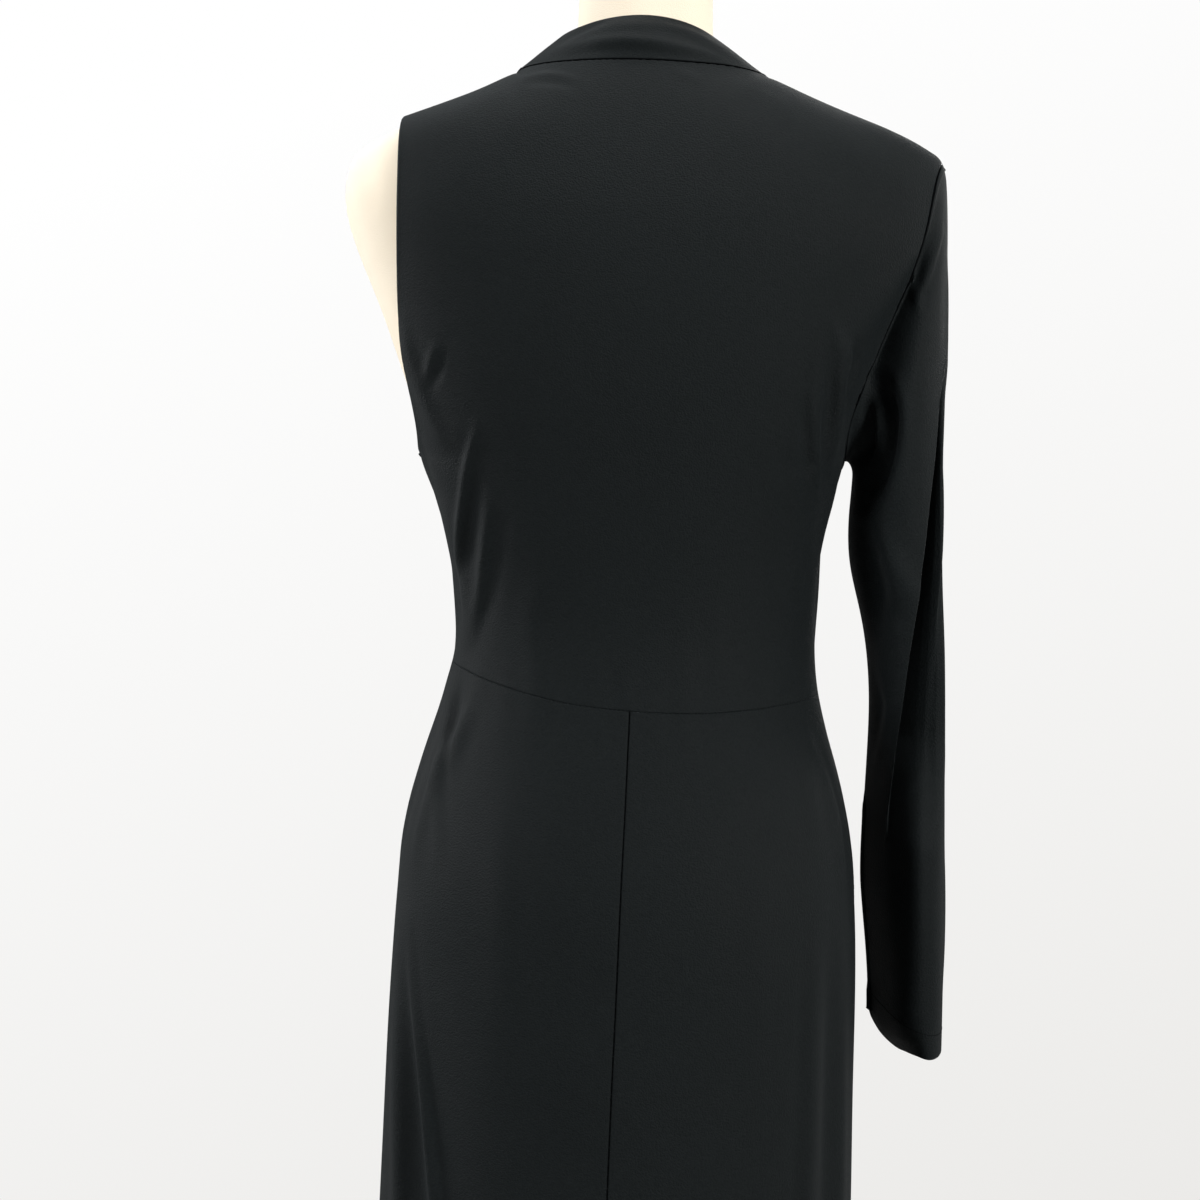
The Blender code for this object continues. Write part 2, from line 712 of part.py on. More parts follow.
def main():
    for old in list(bpy.data.objects):
        bpy.data.objects.remove(old, do_unlink=True)
    parts = bpy.data.collections.new("one_sleeved_gown")
    bpy.context.scene.collection.children.link(parts)

    jersey = (0.014, 0.016, 0.017)
    bodice("bodice_back", 1, parts, material("bodice_back_jersey", jersey, 0.85))
    bodice("bodice_front", -1, parts, material("bodice_front_jersey", jersey, 0.85))
    sleeve("sleeve_right", parts, material("sleeve_jersey", jersey, 0.85))
    collar("collar", parts, material("collar_jersey", jersey, 0.85))
    middle = WAIST_COLUMNS // 2
    skirt("skirt_back_left", 0, middle, parts, material("skirt_back_left_jersey", jersey, 0.85))
    skirt("skirt_back_right", middle, WAIST_COLUMNS, parts,
          material("skirt_back_right_jersey", jersey, 0.85))
    skirt("skirt_front", WAIST_COLUMNS, 2 * WAIST_COLUMNS, parts,
          material("skirt_front_jersey", jersey, 0.85))
    form_torso("form_torso", parts, material("form_cream", (0.80, 0.70, 0.58), 0.6))
    form_pole("form_pole", parts, material("pole_steel", (0.55, 0.55, 0.56), 0.3, 1.0))
    form_base("form_base", parts, material("base_steel", (0.55, 0.55, 0.56), 0.35, 1.0))


main()
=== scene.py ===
# One-sleeved jersey gown on a limbless dress form, with its steel stand.
# Lengths are in metres. The gown's back faces +Y, its sleeve is on the -X side, and +Z is up.
import math

import bmesh
import bpy
import numpy as np
from mathutils import Matrix, Vector, noise
from mathutils.kdtree import KDTree


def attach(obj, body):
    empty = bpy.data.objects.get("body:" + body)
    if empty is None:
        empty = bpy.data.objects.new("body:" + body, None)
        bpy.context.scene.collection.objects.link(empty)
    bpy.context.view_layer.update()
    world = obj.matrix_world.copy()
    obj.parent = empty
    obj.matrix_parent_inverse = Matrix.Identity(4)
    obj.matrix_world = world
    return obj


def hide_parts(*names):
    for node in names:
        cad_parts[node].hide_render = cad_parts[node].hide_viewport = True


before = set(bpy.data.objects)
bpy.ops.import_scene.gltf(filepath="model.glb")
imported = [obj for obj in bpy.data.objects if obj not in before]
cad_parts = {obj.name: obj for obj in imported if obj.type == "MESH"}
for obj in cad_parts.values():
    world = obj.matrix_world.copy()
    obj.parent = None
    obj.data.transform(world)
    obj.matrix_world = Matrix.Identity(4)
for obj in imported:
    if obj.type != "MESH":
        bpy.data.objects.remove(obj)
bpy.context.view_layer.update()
print("frame loaded")


def addObject(name, data):
    piece = bpy.data.objects.new(name, data)
    bpy.context.scene.collection.objects.link(piece)
    return piece


def finishedMesh(name, shape):
    # A mesh made from a bmesh, which isn't needed after that.
    mesh = bpy.data.meshes.new(name)
    shape.to_mesh(mesh)
    shape.free()
    return mesh


def addNode(tree, kind, inputs, **settings):
    # A node with its inputs by name or place: an output of another node is linked, and the rest is set.
    node = tree.nodes.new("ShaderNode" + kind)
    for name, setting in settings.items():
        setattr(node, name, setting)
    for key, value in inputs.items():
        if isinstance(value, bpy.types.NodeSocket):
            tree.links.new(value, node.inputs[key])
        else:
            node.inputs[key].default_value = value
    return node


def addMath(tree, operation, *values):
    return addNode(tree, "Math", dict(enumerate(values)), operation=operation).outputs[0]


def addRange(tree, value, low, high, start=0.0, end=1.0):
    inputs = {"Value": value, "From Min": start, "From Max": end, "To Min": low, "To Max": high}
    return addNode(tree, "MapRange", inputs).outputs[0]


def addColours(tree, mask, low, high):
    inputs = {"Factor": mask, "A": (*low, 1.0), "B": (*high, 1.0)}
    return addNode(tree, "Mix", inputs, data_type="RGBA").outputs["Result"]


# The camera looks at the gown's back, and six lamps stand round it.
studio = {
    "cameraPlace": (0.02135, 1.6, 1.09),
    "cameraRoll": math.radians(1.5),
    "lens": 68.571,
    "sensor": 36.0,
}
lamps = (
    # name, place, aims at, width, height, watts, colour
    ("keyLamp", (-2.2, 2.3, 2.2), (0.0, 0.0, 1.25), 1.0, 1.2, 116.0, (1.0, 0.99, 0.97)),
    ("windowLamp", (2.4, 1.3, 2.0), (0.0, 0.0, 1.3), 0.9, 1.4, 54.0, (0.98, 0.99, 1.0)),
    ("topLamp", (0.0, 0.1, 3.0), (0.0, 0.0, 1.4), 1.0, 0.8, 21.0, (1.0, 1.0, 1.0)),
    ("leftRim", (2.3, -0.8, 2.0), (0.0, 0.0, 1.3), 0.7, 1.4, 44.0, (0.98, 0.99, 1.0)),
    ("rightRim", (-2.3, -0.9, 1.8), (0.0, 0.0, 1.2), 0.7, 1.8, 13.0, (1.0, 0.99, 0.97)),
    ("frontLamp", (-0.9, -2.4, 2.3), (0.0, 0.0, 1.0), 1.6, 1.6, 26.0, (1.0, 0.99, 0.97)),
)
cameraData = bpy.data.cameras.new("mainCamera")
cameraData.sensor_width = studio["sensor"]
cameraData.lens = studio["lens"]
camera = addObject("mainCamera", cameraData)
turn = Matrix.Rotation(math.pi, 4, "Z") @ Matrix.Rotation(math.pi / 2, 4, "X")
turn = turn @ Matrix.Rotation(studio["cameraRoll"], 4, "Z")
camera.matrix_world = Matrix.Translation(studio["cameraPlace"]) @ turn
bpy.context.scene.camera = camera
bpy.context.scene.view_settings.view_transform = "Standard"
for name, place, aim, width, height, watts, colour in lamps:
    lampData = bpy.data.lights.new(name, "AREA")
    lampData.shape = "RECTANGLE"
    lampData.size = width
    lampData.size_y = height
    lampData.energy = watts
    lampData.color = colour
    lamp = addObject(name, lampData)
    lamp.location = place
    lamp.rotation_euler = (Vector(aim) - Vector(place)).to_track_quat("-Z", "Y").to_euler()

# The sky looks pale everywhere, but its light comes mostly from the side that the camera looks at.
sky = {
    "high": (1.0, 1.0, 1.0),
    "low": (0.80, 0.79, 0.77),
    "lean": 0.35,  # how much the pale part leans towards +X
    "blend": (-0.45, 0.25),  # heights between which the low colour turns into the high one
    "strengths": (0.012, 0.18),  # light from the camera's side, and from the side that it looks at
    "strengthBlend": (0.30, -0.40),
}
world = bpy.data.worlds.new("studioSky")
bpy.context.scene.world = world
world.use_nodes = True
tree = world.node_tree
background = tree.nodes["Background"]
skyWay = addNode(tree, "TexCoord", {}).outputs["Generated"]
skySplit = addNode(tree, "SeparateXYZ", {0: skyWay}).outputs
slope = addMath(tree, "MULTIPLY_ADD", skySplit["X"], sky["lean"], skySplit["Z"])
paleShare = addRange(tree, slope, 0.0, 1.0, *sky["blend"])
tree.links.new(addColours(tree, paleShare, sky["low"], sky["high"]), background.inputs["Color"])
lit = addRange(tree, skySplit["Y"], *sky["strengths"], *sky["strengthBlend"])
seen = addNode(tree, "LightPath", {}).outputs["Is Camera Ray"]
tree.links.new(addRange(tree, seen, lit, 1.0), background.inputs["Strength"])
print("studio made:", len(lamps), "lamps")


def newMaterial(name):
    material = bpy.data.materials.new(name)
    material.use_nodes = True
    return material, material.node_tree, material.node_tree.nodes["Principled BSDF"]


def newGroup(name, inputs, output):
    # An empty node group: its inputs' names and types, its output's name, and its two end nodes.
    group = bpy.data.node_groups.new(name, "ShaderNodeTree")
    for label, kind in inputs:
        group.interface.new_socket(label, in_out="INPUT", socket_type="NodeSocket" + kind)
    group.interface.new_socket(output, in_out="OUTPUT", socket_type="NodeSocketFloat")
    return group, group.nodes.new("NodeGroupInput").outputs, group.nodes.new("NodeGroupOutput").inputs


knit = {
    "halfWale": 0.5,  # each wale rises and falls once
    "coursesPerWale": 1.3,
    "loopHeight": 0.6,  # against its wale's
}
patches = {"darkest": 0.3, "lightest": 0.7}


def grainGroup():
    # A knit's wales and courses, from a cloth map in metres.
    group, given, result = newGroup("knitGrain", (("Map", "Vector"), ("Wales per metre", "Float")), "Height")
    inputs = {0: given["Map"], "Scale": given["Wales per metre"]}
    scaled = addNode(group, "VectorMath", inputs, operation="SCALE").outputs[0]
    split = addNode(group, "SeparateXYZ", {0: scaled}).outputs
    wale = addMath(group, "PINGPONG", split["X"], knit["halfWale"])
    course = addMath(group, "MULTIPLY_ADD", split["Y"], knit["coursesPerWale"], wale)
    loop = addMath(group, "PINGPONG", course, knit["halfWale"])
    height = addMath(group, "MULTIPLY_ADD", loop, knit["loopHeight"], wale)
    group.links.new(height, result["Height"])
    return group


def patchGroup():
    # Soft cloudy patches between 0 and 1, for small changes of colour or shine.
    group, given, result = newGroup("softPatches", (("Scale", "Float"), ("Detail", "Float")), "Mask")
    place = addNode(group, "TexCoord", {}).outputs["Object"]
    inputs = {"Vector": place, "Scale": given["Scale"], "Detail": given["Detail"]}
    cloud = addNode(group, "TexNoise", inputs).outputs["Fac"]
    spread = addRange(group, cloud, 0.0, 1.0, patches["darkest"], patches["lightest"])
    group.links.new(spread, result["Mask"])
    return group


knitGrain = grainGroup()
softPatches = patchGroup()


def addPatches(tree, scale, detail):
    inputs = {"Scale": scale, "Detail": detail}
    return addNode(tree, "Group", inputs, node_tree=softPatches).outputs["Mask"]


def addBump(tree, height, strength, distance, below=None):
    inputs = {"Strength": strength, "Distance": distance, "Height": height}
    if below is not None:
        inputs["Normal"] = below
    return addNode(tree, "Bump", inputs).outputs["Normal"]


# Patches are given as scale and detail, and a bump as strength and depth.
jersey = {
    "dark": (0.0031, 0.0047, 0.0052),
    "light": (0.0069, 0.0092, 0.0098),
    "tensionPatches": (14.0, 3.0),
    "fibrePatches": (900.0, 2.0),
    "fleckPatches": (640.0, 2.0),
    "fleckShare": 0.70,
    "tensionShare": 0.30,
    "roughness": (0.62, 0.72),
    "wales": 1100.0,
    "fibreBump": (0.55, 0.0005),
    "knitBump": (0.30, 0.0003),
    "gloss": 0.10,
    "sheen": 0.042,
    "sheenRoughness": 0.45,
    "sheenTint": (0.80, 0.86, 0.90, 1.0),
}
jerseyMaterial, tree, shader = newMaterial("matteJersey")
clothMap = addNode(tree, "Attribute", {}, attribute_name="clothMap").outputs["Vector"]
inputs = {"Map": clothMap, "Wales per metre": jersey["wales"]}
grain = addNode(tree, "Group", inputs, node_tree=knitGrain).outputs["Height"]
tensionMask = addPatches(tree, *jersey["tensionPatches"])
fibreMask = addPatches(tree, *jersey["fibrePatches"])
fleckMask = addPatches(tree, *jersey["fleckPatches"])
tension = addRange(tree, tensionMask, 0.0, jersey["tensionShare"])
flecked = addMath(tree, "MULTIPLY_ADD", fleckMask, jersey["fleckShare"], tension)
tree.links.new(addColours(tree, flecked, jersey["dark"], jersey["light"]), shader.inputs["Base Color"])
tree.links.new(addRange(tree, tensionMask, *jersey["roughness"]), shader.inputs["Roughness"])
fibreNormal = addBump(tree, fibreMask, *jersey["fibreBump"])
knitNormal = addBump(tree, grain, *jersey["knitBump"], fibreNormal)
tree.links.new(knitNormal, shader.inputs["Normal"])
shader.inputs["Specular IOR Level"].default_value = jersey["gloss"]
shader.inputs["Sheen Weight"].default_value = jersey["sheen"]
shader.inputs["Sheen Roughness"].default_value = jersey["sheenRoughness"]
shader.inputs["Sheen Tint"].default_value = jersey["sheenTint"]

# Near-black thread, darker than the cloth. Above the turned edges it is real stitching; along the seams its
# bars stand in for the shade in the seam's groove (painted shade).
threadAndSeamShade = {
    "dark": (0.0012, 0.0014, 0.0016),
    "light": (0.0030, 0.0034, 0.0038),
    "patches": (1600.0, 1.0),
    "bump": (0.4, 0.0002),
    "roughness": 0.90,
    "gloss": 0.0,
}
threadAndSeamShadeMaterial, tree, shader = newMaterial("seamThreadAndShade")
twistMask = addPatches(tree, *threadAndSeamShade["patches"])
tree.links.new(addColours(tree, twistMask, threadAndSeamShade["dark"], threadAndSeamShade["light"]), shader.inputs["Base Color"])
tree.links.new(addBump(tree, twistMask, *threadAndSeamShade["bump"]), shader.inputs["Normal"])
shader.inputs["Roughness"].default_value = threadAndSeamShade["roughness"]
shader.inputs["Specular IOR Level"].default_value = threadAndSeamShade["gloss"]
print("cloth and thread materials made")

# The gown: the outward sides of its panels become one fine surface, which is then folded and cut apart again.
gown = {
    "mergeReach": 0.00002,
    "sharpEdge": math.radians(48),
    "quadAngles": (math.radians(65), math.radians(110)),
    "quadTopology": 1.6,
    "seamReach": 0.0008,
    "levels": 3,
    "fitRounds": 2,
    "firstSmooth": 0.5,
    "lastSmooth": 0.25,
    "rimSmooth": 0.5,
    "lastPasses": 2,
    "grooveWidth": 0.0011,
    "stitchPitch": 0.0042,
    "stitchWay": (1.0, 0.6, 0.4),  # the way that the stitches are counted along
    "clothThickness": 0.0020,  # where the cloth is doubled
    "plainShare": 0.5,  # of that thickness, elsewhere
    "edgeRoll": 0.0006,
}
panels = {
    # node: piece, middle of the panel's own section, way that its middle faces, turned edge's depth
    "bodice_back": ("bodiceBack", (0.0, 0.0), 90, 0.010),
    "bodice_front": ("bodiceFront", (0.0, 0.0), -90, 0.010),
    "sleeve_right": ("sleeveRight", (-0.19, -0.005), 180, 0.018),
    "collar": ("foldedCollar", (0.0, 0.0), 90, 0.010),
    "skirt_back_left": ("skirtBackLeft", (0.0, 0.0), 45, 0.022),
    "skirt_back_right": ("skirtBackRight", (0.0, 0.0), 135, 0.022),
    "skirt_front": ("skirtFront", (0.0, 0.0), -90, 0.022),
}
nodeNames = list(panels)
sleeve = nodeNames.index("sleeve_right")
collar = nodeNames.index("collar")
bodiceNodes = ("bodice_back", "bodice_front")
skirtNodes = ("skirt_back_left", "skirt_back_right", "skirt_front")
seams = {
    # panels that meet, by their places above: depth of the groove, how much its stitches pull it in and out
    (0, 3): (0.0008, 0.6),
    (1, 3): (0.0008, 0.6),
    (0, 4): (0.00012, 0.8),
    (0, 5): (0.00012, 0.8),
    (1, 6): (0.0004, 0.8),
    (4, 5): (0.0004, 0.1),
    (0, 2): (0.0014, 0.1),
    (1, 2): (0.0014, 0.1),
    "other": (0.0009, 0.3),
}


def outerSkin(node):
    # The outward side of a panel's solid, as quads, grown from the face that looks outwards most.
    middle = panels[node][1]
    skin = bmesh.new()
    skin.from_mesh(bpy.data.objects[node].data)
    bmesh.ops.remove_doubles(skin, verts=skin.verts, dist=gown["mergeReach"])
    skin.normal_update()

    def facing(face):
        centre = face.calc_center_median()
        out = Vector((centre.x - middle[0], centre.y - middle[1], 0.0)).normalized()
        upperSleeve = node == "sleeve_right" and centre.z > 1.0  # the middle given is the forearm's
        return face.normal.dot(out) - 10.0 * upperSleeve

    start = max(skin.faces, key=facing)
    kept = {start}
    waiting = [start]
    while waiting:
        face = waiting.pop()
        for edge in face.edges:
            if edge.calc_face_angle(0) < gown["sharpEdge"]:
                for other in edge.link_faces:
                    if other not in kept:
                        kept.add(other)
                        waiting.append(other)
    dropped = [face for face in skin.faces if face not in kept]
    bmesh.ops.delete(skin, geom=dropped, context="FACES")
    bmesh.ops.join_triangles(
        skin,
        faces=skin.faces,
        angle_face_threshold=gown["quadAngles"][0],
        angle_shape_threshold=gown["quadAngles"][1],
        topology_influence=gown["quadTopology"],
    )
    for face in skin.faces:
        face.material_index = nodeNames.index(node)
    return skin


def positions(mesh):
    places = np.empty(len(mesh.vertices) * 3)
    mesh.vertices.foreach_get("co", places)
    return places.reshape(-1, 3)


def subdivided(source):
    # A fine copy of a mesh object, with its subdivision applied.
    graph = bpy.context.evaluated_depsgraph_get()
    graph.update()
    return bpy.data.meshes.new_from_object(source.evaluated_get(graph))


def relax(shape, verts, factor):
    # Moves points part of the way to the middle of their neighbours.
    bmesh.ops.smooth_vert(
        shape, verts=verts, factor=factor, use_axis_x=True, use_axis_y=True, use_axis_z=True
    )


def onlyPanels(source, kept):
    # Leaves only the faces of the panels whose places are in kept.
    bmesh.ops.delete(source, geom=[f for f in source.faces if f.material_index not in kept], context="FACES")


whole = bmesh.new()
for node in nodeNames:
    piece = finishedMesh(node, outerSkin(node))
    whole.from_mesh(piece)
    bpy.data.meshes.remove(piece)
bmesh.ops.remove_doubles(whole, verts=whole.verts, dist=gown["seamReach"])
bmesh.ops.holes_fill(whole, edges=[edge for edge in whole.edges if edge.is_boundary], sides=4)
coarse = finishedMesh("coarseGown", whole)
coarseObject = addObject("coarseGown", coarse)
smoothing = coarseObject.modifiers.new("smoothing", "SUBSURF")
smoothing.levels = smoothing.render_levels = gown["levels"]
wanted = positions(coarse)
# The coarse points move out, so that the fine surface passes through the panels' own points.
for _ in range(gown["fitRounds"]):
    fine = subdivided(coarseObject)
    moved = positions(coarse) + wanted - positions(fine)[: len(wanted)]
    coarse.vertices.foreach_set("co", moved.ravel())
    coarse.update()
    bpy.data.meshes.remove(fine)
fine = subdivided(coarseObject)
bpy.data.objects.remove(coarseObject)
print("gown surface:", len(fine.vertices), "points")

seamed = bmesh.new()
seamed.from_mesh(fine)
relax(seamed, [v for v in seamed.verts if not v.is_boundary], gown["firstSmooth"])

# The sleeve hangs in a long soft pleat: below the elbow its side next to the body falls back, and above it
# the cloth laps over its outer part along a line that starts under the cap and runs down to the inner edge.
pleat = {
    "line": (
        (-0.2120, 1.262), (-0.2070, 1.233), (-0.2045, 1.192), (-0.2015, 1.164), (-0.1980, 1.123),
        (-0.1945, 1.089), (-0.1900, 1.055), (-0.1870, 1.022), (-0.1852, 0.995), (-0.1848, 0.972),
        (-0.1838, 0.945), (-0.1828, 0.910),
    ),
    # height, how much of the pleat's full depth there is
    "depths": ((0.925, 0.0), (0.96, 0.45), (1.00, 0.90), (1.10, 0.95), (1.19, 0.85), (1.262, 0.0)),
    # way across from the line to the sleeve's outer side, how far back the pleat's floor is there
    "floor": (
        (0.0, -0.45), (0.15, -0.33), (0.30, -0.21), (0.45, -0.10), (0.60, -0.02), (0.80, 0.04), (1.0, 0.04),
    ),
    "floorSoftness": 0.006,
    "refined": 0.014,  # the surface is made finer this near to the line
    "refinedTop": 1.275,
    "refinedFrom": -0.01,
    "refinedSmooth": 0.6,
    "edge": 0.0020,  # how far from the line the floor is reached
    "lip": 0.0016,
    "lipWidth": 0.005,
    "leans": (1.03, 0.94),  # heights between which the inner side starts to fall back
    "leanLow": -0.62,
    "leanHigh": 0.82,
    "leanTop": 0.70,
    "leanSoftness": 0.010,
    "top": 1.27,
    "levelsTop": 1.28,
    "levelStep": 0.012,
}
pleatLine = np.array(pleat["line"])[::-1]
alongPleat = set()
for face in seamed.faces:
    spot = face.calc_center_median()
    onPleat = spot.y > pleat["refinedFrom"] and pleat["depths"][0][0] < spot.z < pleat["refinedTop"]
    if onPleat and face.material_index == sleeve:
        if abs(np.interp(spot.z, pleatLine[:, 1], pleatLine[:, 0]) - spot.x) < pleat["refined"]:
            alongPleat.update(face.edges)
bmesh.ops.subdivide_edges(
    seamed, edges=list(alongPleat), cuts=1, use_grid_fill=True, smooth=pleat["refinedSmooth"]
)
print("pleat refined:", len(alongPleat), "edges")
seamed.normal_update()
seamed.verts.ensure_lookup_table()
count = len(seamed.verts)
place = np.array([v.co for v in seamed.verts])
out = np.array([v.normal for v in seamed.verts])
member = np.zeros((count, len(nodeNames)), dtype=bool)
for face in seamed.faces:
    for v in face.verts:
        member[v.index, face.material_index] = True
openEdge = np.array([v.is_boundary for v in seamed.verts])
onSeam = member.sum(axis=1) > 1
onSkirt = member[:, [nodeNames.index(node) for node in skirtNodes]].any(axis=1)


def smoothStep(low, high, values):
    part = np.clip((values - low) / (high - low), 0.0, 1.0)
    return part * part * (3.0 - 2.0 * part)


def softMinimum(value, limit, softness):
    # Follows the value while it is under the limit, and bends softly into the limit above it.
    above = value - limit
    return limit + (above - np.hypot(above, softness)) / 2.0


onSleeve = member[:, sleeve] & ~onSeam & (place[:, 2] < pleat["top"])
sleeveIndex = np.nonzero(onSleeve)[0]
cloth = place[sleeveIndex]
levelEdges = np.arange(cloth[:, 2].min(), pleat["levelsTop"], pleat["levelStep"])
levels = (levelEdges[:-1] + levelEdges[1:]) / 2.0
inner = np.empty(len(levels))
outer = np.empty(len(levels))
middleY = np.empty(len(levels))
halfDepth = np.empty(len(levels))
for k, low in enumerate(levelEdges[:-1]):
    ring = cloth[(cloth[:, 2] >= low) & (cloth[:, 2] < levelEdges[k + 1])]
    inner[k] = ring[:, 0].max()
    outer[k] = ring[:, 0].min()
    middleY[k] = (ring[:, 1].max() + ring[:, 1].min()) / 2.0
    halfDepth[k] = (ring[:, 1].max() - ring[:, 1].min()) / 2.0
x, y, z = cloth.T
across = (np.interp(z, levels, inner) - x) / np.interp(z, levels, inner - outer)
centre = np.interp(z, levels, middleY)
half = np.interp(z, levels, halfDepth)
foldAt = np.interp(z, pleatLine[:, 1], pleatLine[:, 0])
past = foldAt - x
share = past / (foldAt - np.interp(z, levels, outer))
floor = centre + half * np.interp(share, *np.array(pleat["floor"]).T)
deep = np.interp(z, *np.array(pleat["depths"]).T) * smoothStep(0.0, pleat["edge"], past)
lip = pleat["lip"] * np.exp(-((past / pleat["lipWidth"]) ** 2)) * (deep > 0.0)
risen = np.sin(np.clip(across / pleat["leanTop"], 0.0, 1.0) * math.pi / 2.0)
leaning = centre + half * (pleat["leanLow"] + (pleat["leanHigh"] - pleat["leanLow"]) * risen)
fallen = softMinimum(y, leaning, pleat["leanSoftness"])
plain = y + smoothStep(*pleat["leans"], z) * np.minimum(fallen - y, 0.0)
moved = plain + lip
moved += deep * np.minimum(softMinimum(y, floor, pleat["floorSoftness"]) - moved, 0.0)
place[sleeveIndex, 1] = np.where(y > centre, moved, plain)

# The sleeve sinks a little beside its armhole seam, so that the bodice's edge stands over it.
armholeSink = {"depth": 0.0010, "reach": 0.0060, "fadesFrom": 1.385, "fadesTo": 1.345, "lowest": 1.12}
atArmhole = member[:, sleeve] & onSeam
seamTree = KDTree(int(atArmhole.sum()))
for k, point in enumerate(place[atArmhole]):
    seamTree.insert(point, k)
seamTree.balance()
sunk = np.zeros(count)
besideSeam = member[:, sleeve] & (place[:, 2] > armholeSink["lowest"])
for k in np.nonzero(besideSeam)[0]:
    sunk[k] = seamTree.find(place[k])[2]
sunk = np.where(besideSeam, np.exp(-((sunk / armholeSink["reach"]) ** 2)), 0.0)
sunk *= armholeSink["depth"] * smoothStep(armholeSink["fadesFrom"], armholeSink["fadesTo"], place[:, 2])

foldShape = {
    "facing": (0.05, 0.45),  # how much a point looks to its table's side, for none and all of a fold
    "reach": 3.2,  # in widths
    "ditch": 0.15,  # depth of the dip beside a fold, against its height
    "ditchAt": 1.7,  # in widths
    "ditchSpread": 0.8,
    "samples": 28,
    "rounds": 4,
    "endGap": 0.02,
    "endPower": 0.7,
}
views = {
    # view: the two axes of its picture, the way it is seen from
    "back": (0, 2, (0.0, 1.0, 0.0)),
    "front": (0, 2, (0.0, -1.0, 0.0)),
    "left": (1, 2, (1.0, 0.0, 0.0)),
    "right": (1, 2, (-1.0, 0.0, 0.0)),
}


def softLine(points):
    # Points spread evenly along a fold's line, with its corners rounded.
    line = np.array(points, dtype=float)
    steps = np.linalg.norm(np.diff(line, axis=0), axis=1)
    along = np.concatenate(([0.0], np.cumsum(steps)))
    wantedAlong = np.linspace(0.0, along[-1], foldShape["samples"])
    line = np.stack([np.interp(wantedAlong, along, line[:, k]) for k in range(line.shape[1])], axis=1)
    for _ in range(foldShape["rounds"]):
        line[1:-1] = (line[:-2] + 2.0 * line[1:-1] + line[2:]) / 4.0
    return line


def foldHeights(folds, view, nodes):
    # How far each point moves out for a table of folds seen from one side.
    first, second, way = views[view]
    flat = place[:, [first, second]]
    faces = smoothStep(*foldShape["facing"], out @ np.array(way))
    allowed = member[:, [nodeNames.index(node) for node in nodes]].any(axis=1) & (faces > 0.0)
    total = np.zeros(count)
    for points, rise, width, lean in folds:
        line = softLine(points)
        reach = foldShape["reach"] * width
        inside = allowed.copy()
        for k in range(2):
            inside &= (flat[:, k] > line[:, k].min() - reach) & (flat[:, k] < line[:, k].max() + reach)
        index = np.nonzero(inside)[0]
        if not len(index):
            continue
        near = flat[index]
        best = np.full(len(index), np.inf)
        side = np.zeros(len(index))
        share = np.zeros(len(index))
        for k in range(len(line) - 1):
            step = line[k + 1] - line[k]
            part = np.clip(((near - line[k]) @ step) / float(step @ step), 0.0, 1.0)
            offset = near - (line[k] + part[:, None] * step)
            distance = np.hypot(offset[:, 0], offset[:, 1])
            closer = distance < best
            best = np.where(closer, distance, best)
            cross = step[0] * offset[:, 1] - step[1] * offset[:, 0]
            side = np.where(closer, np.sign(cross), side)
            share = np.where(closer, (k + part) / (len(line) - 1), share)
        far = best / (width * (1.0 + lean * side))
        ditch = foldShape["ditch"] * np.exp(-((far - foldShape["ditchAt"]) ** 2) / foldShape["ditchSpread"])
        fromEnd = np.clip(share, foldShape["endGap"], 1.0 - foldShape["endGap"])
        taper = np.sin(math.pi * fromEnd) ** foldShape["endPower"]
        total[index] += rise * (np.exp(-far * far) - ditch) * taper * faces[index]
    return total


# Each fold: its line as seen from that side, how far it stands out (less than zero for a trough), its width,
# and how much wider its one flank is than the other.
collarBack = (
    (((0.064, 1.469), (0.049, 1.477), (0.038, 1.481), (0.025, 1.484)), -0.0011, 0.0030, 0.0),
    (
        ((0.033, 1.476), (0.004, 1.476), (-0.018, 1.476), (-0.037, 1.470), (-0.056, 1.463)),
        -0.0007, 0.0034, 0.2,
    ),
    (((0.064, 1.464), (0.041, 1.468), (0.018, 1.469), (-0.009, 1.467), (-0.030, 1.464), (-0.045, 1.461),
      (-0.062, 1.455)), 0.0013, 0.0038, 0.2),
    (((0.054, 1.461), (0.031, 1.462), (0.004, 1.462), (-0.016, 1.460)), -0.0004, 0.0030, 0.0),
    (((-0.010, 1.481), (-0.032, 1.478), (-0.050, 1.470)), 0.0008, 0.0034, 0.3),
)
collarFront = (
    (((0.060, 1.462), (0.028, 1.452), (-0.006, 1.449), (-0.036, 1.454)), 0.0025, 0.0050, 0.3),
    (((0.040, 1.468), (0.014, 1.461)), -0.0014, 0.0035, 0.0),
    (((-0.030, 1.464), (-0.058, 1.462)), 0.0017, 0.0040, 0.2),
)
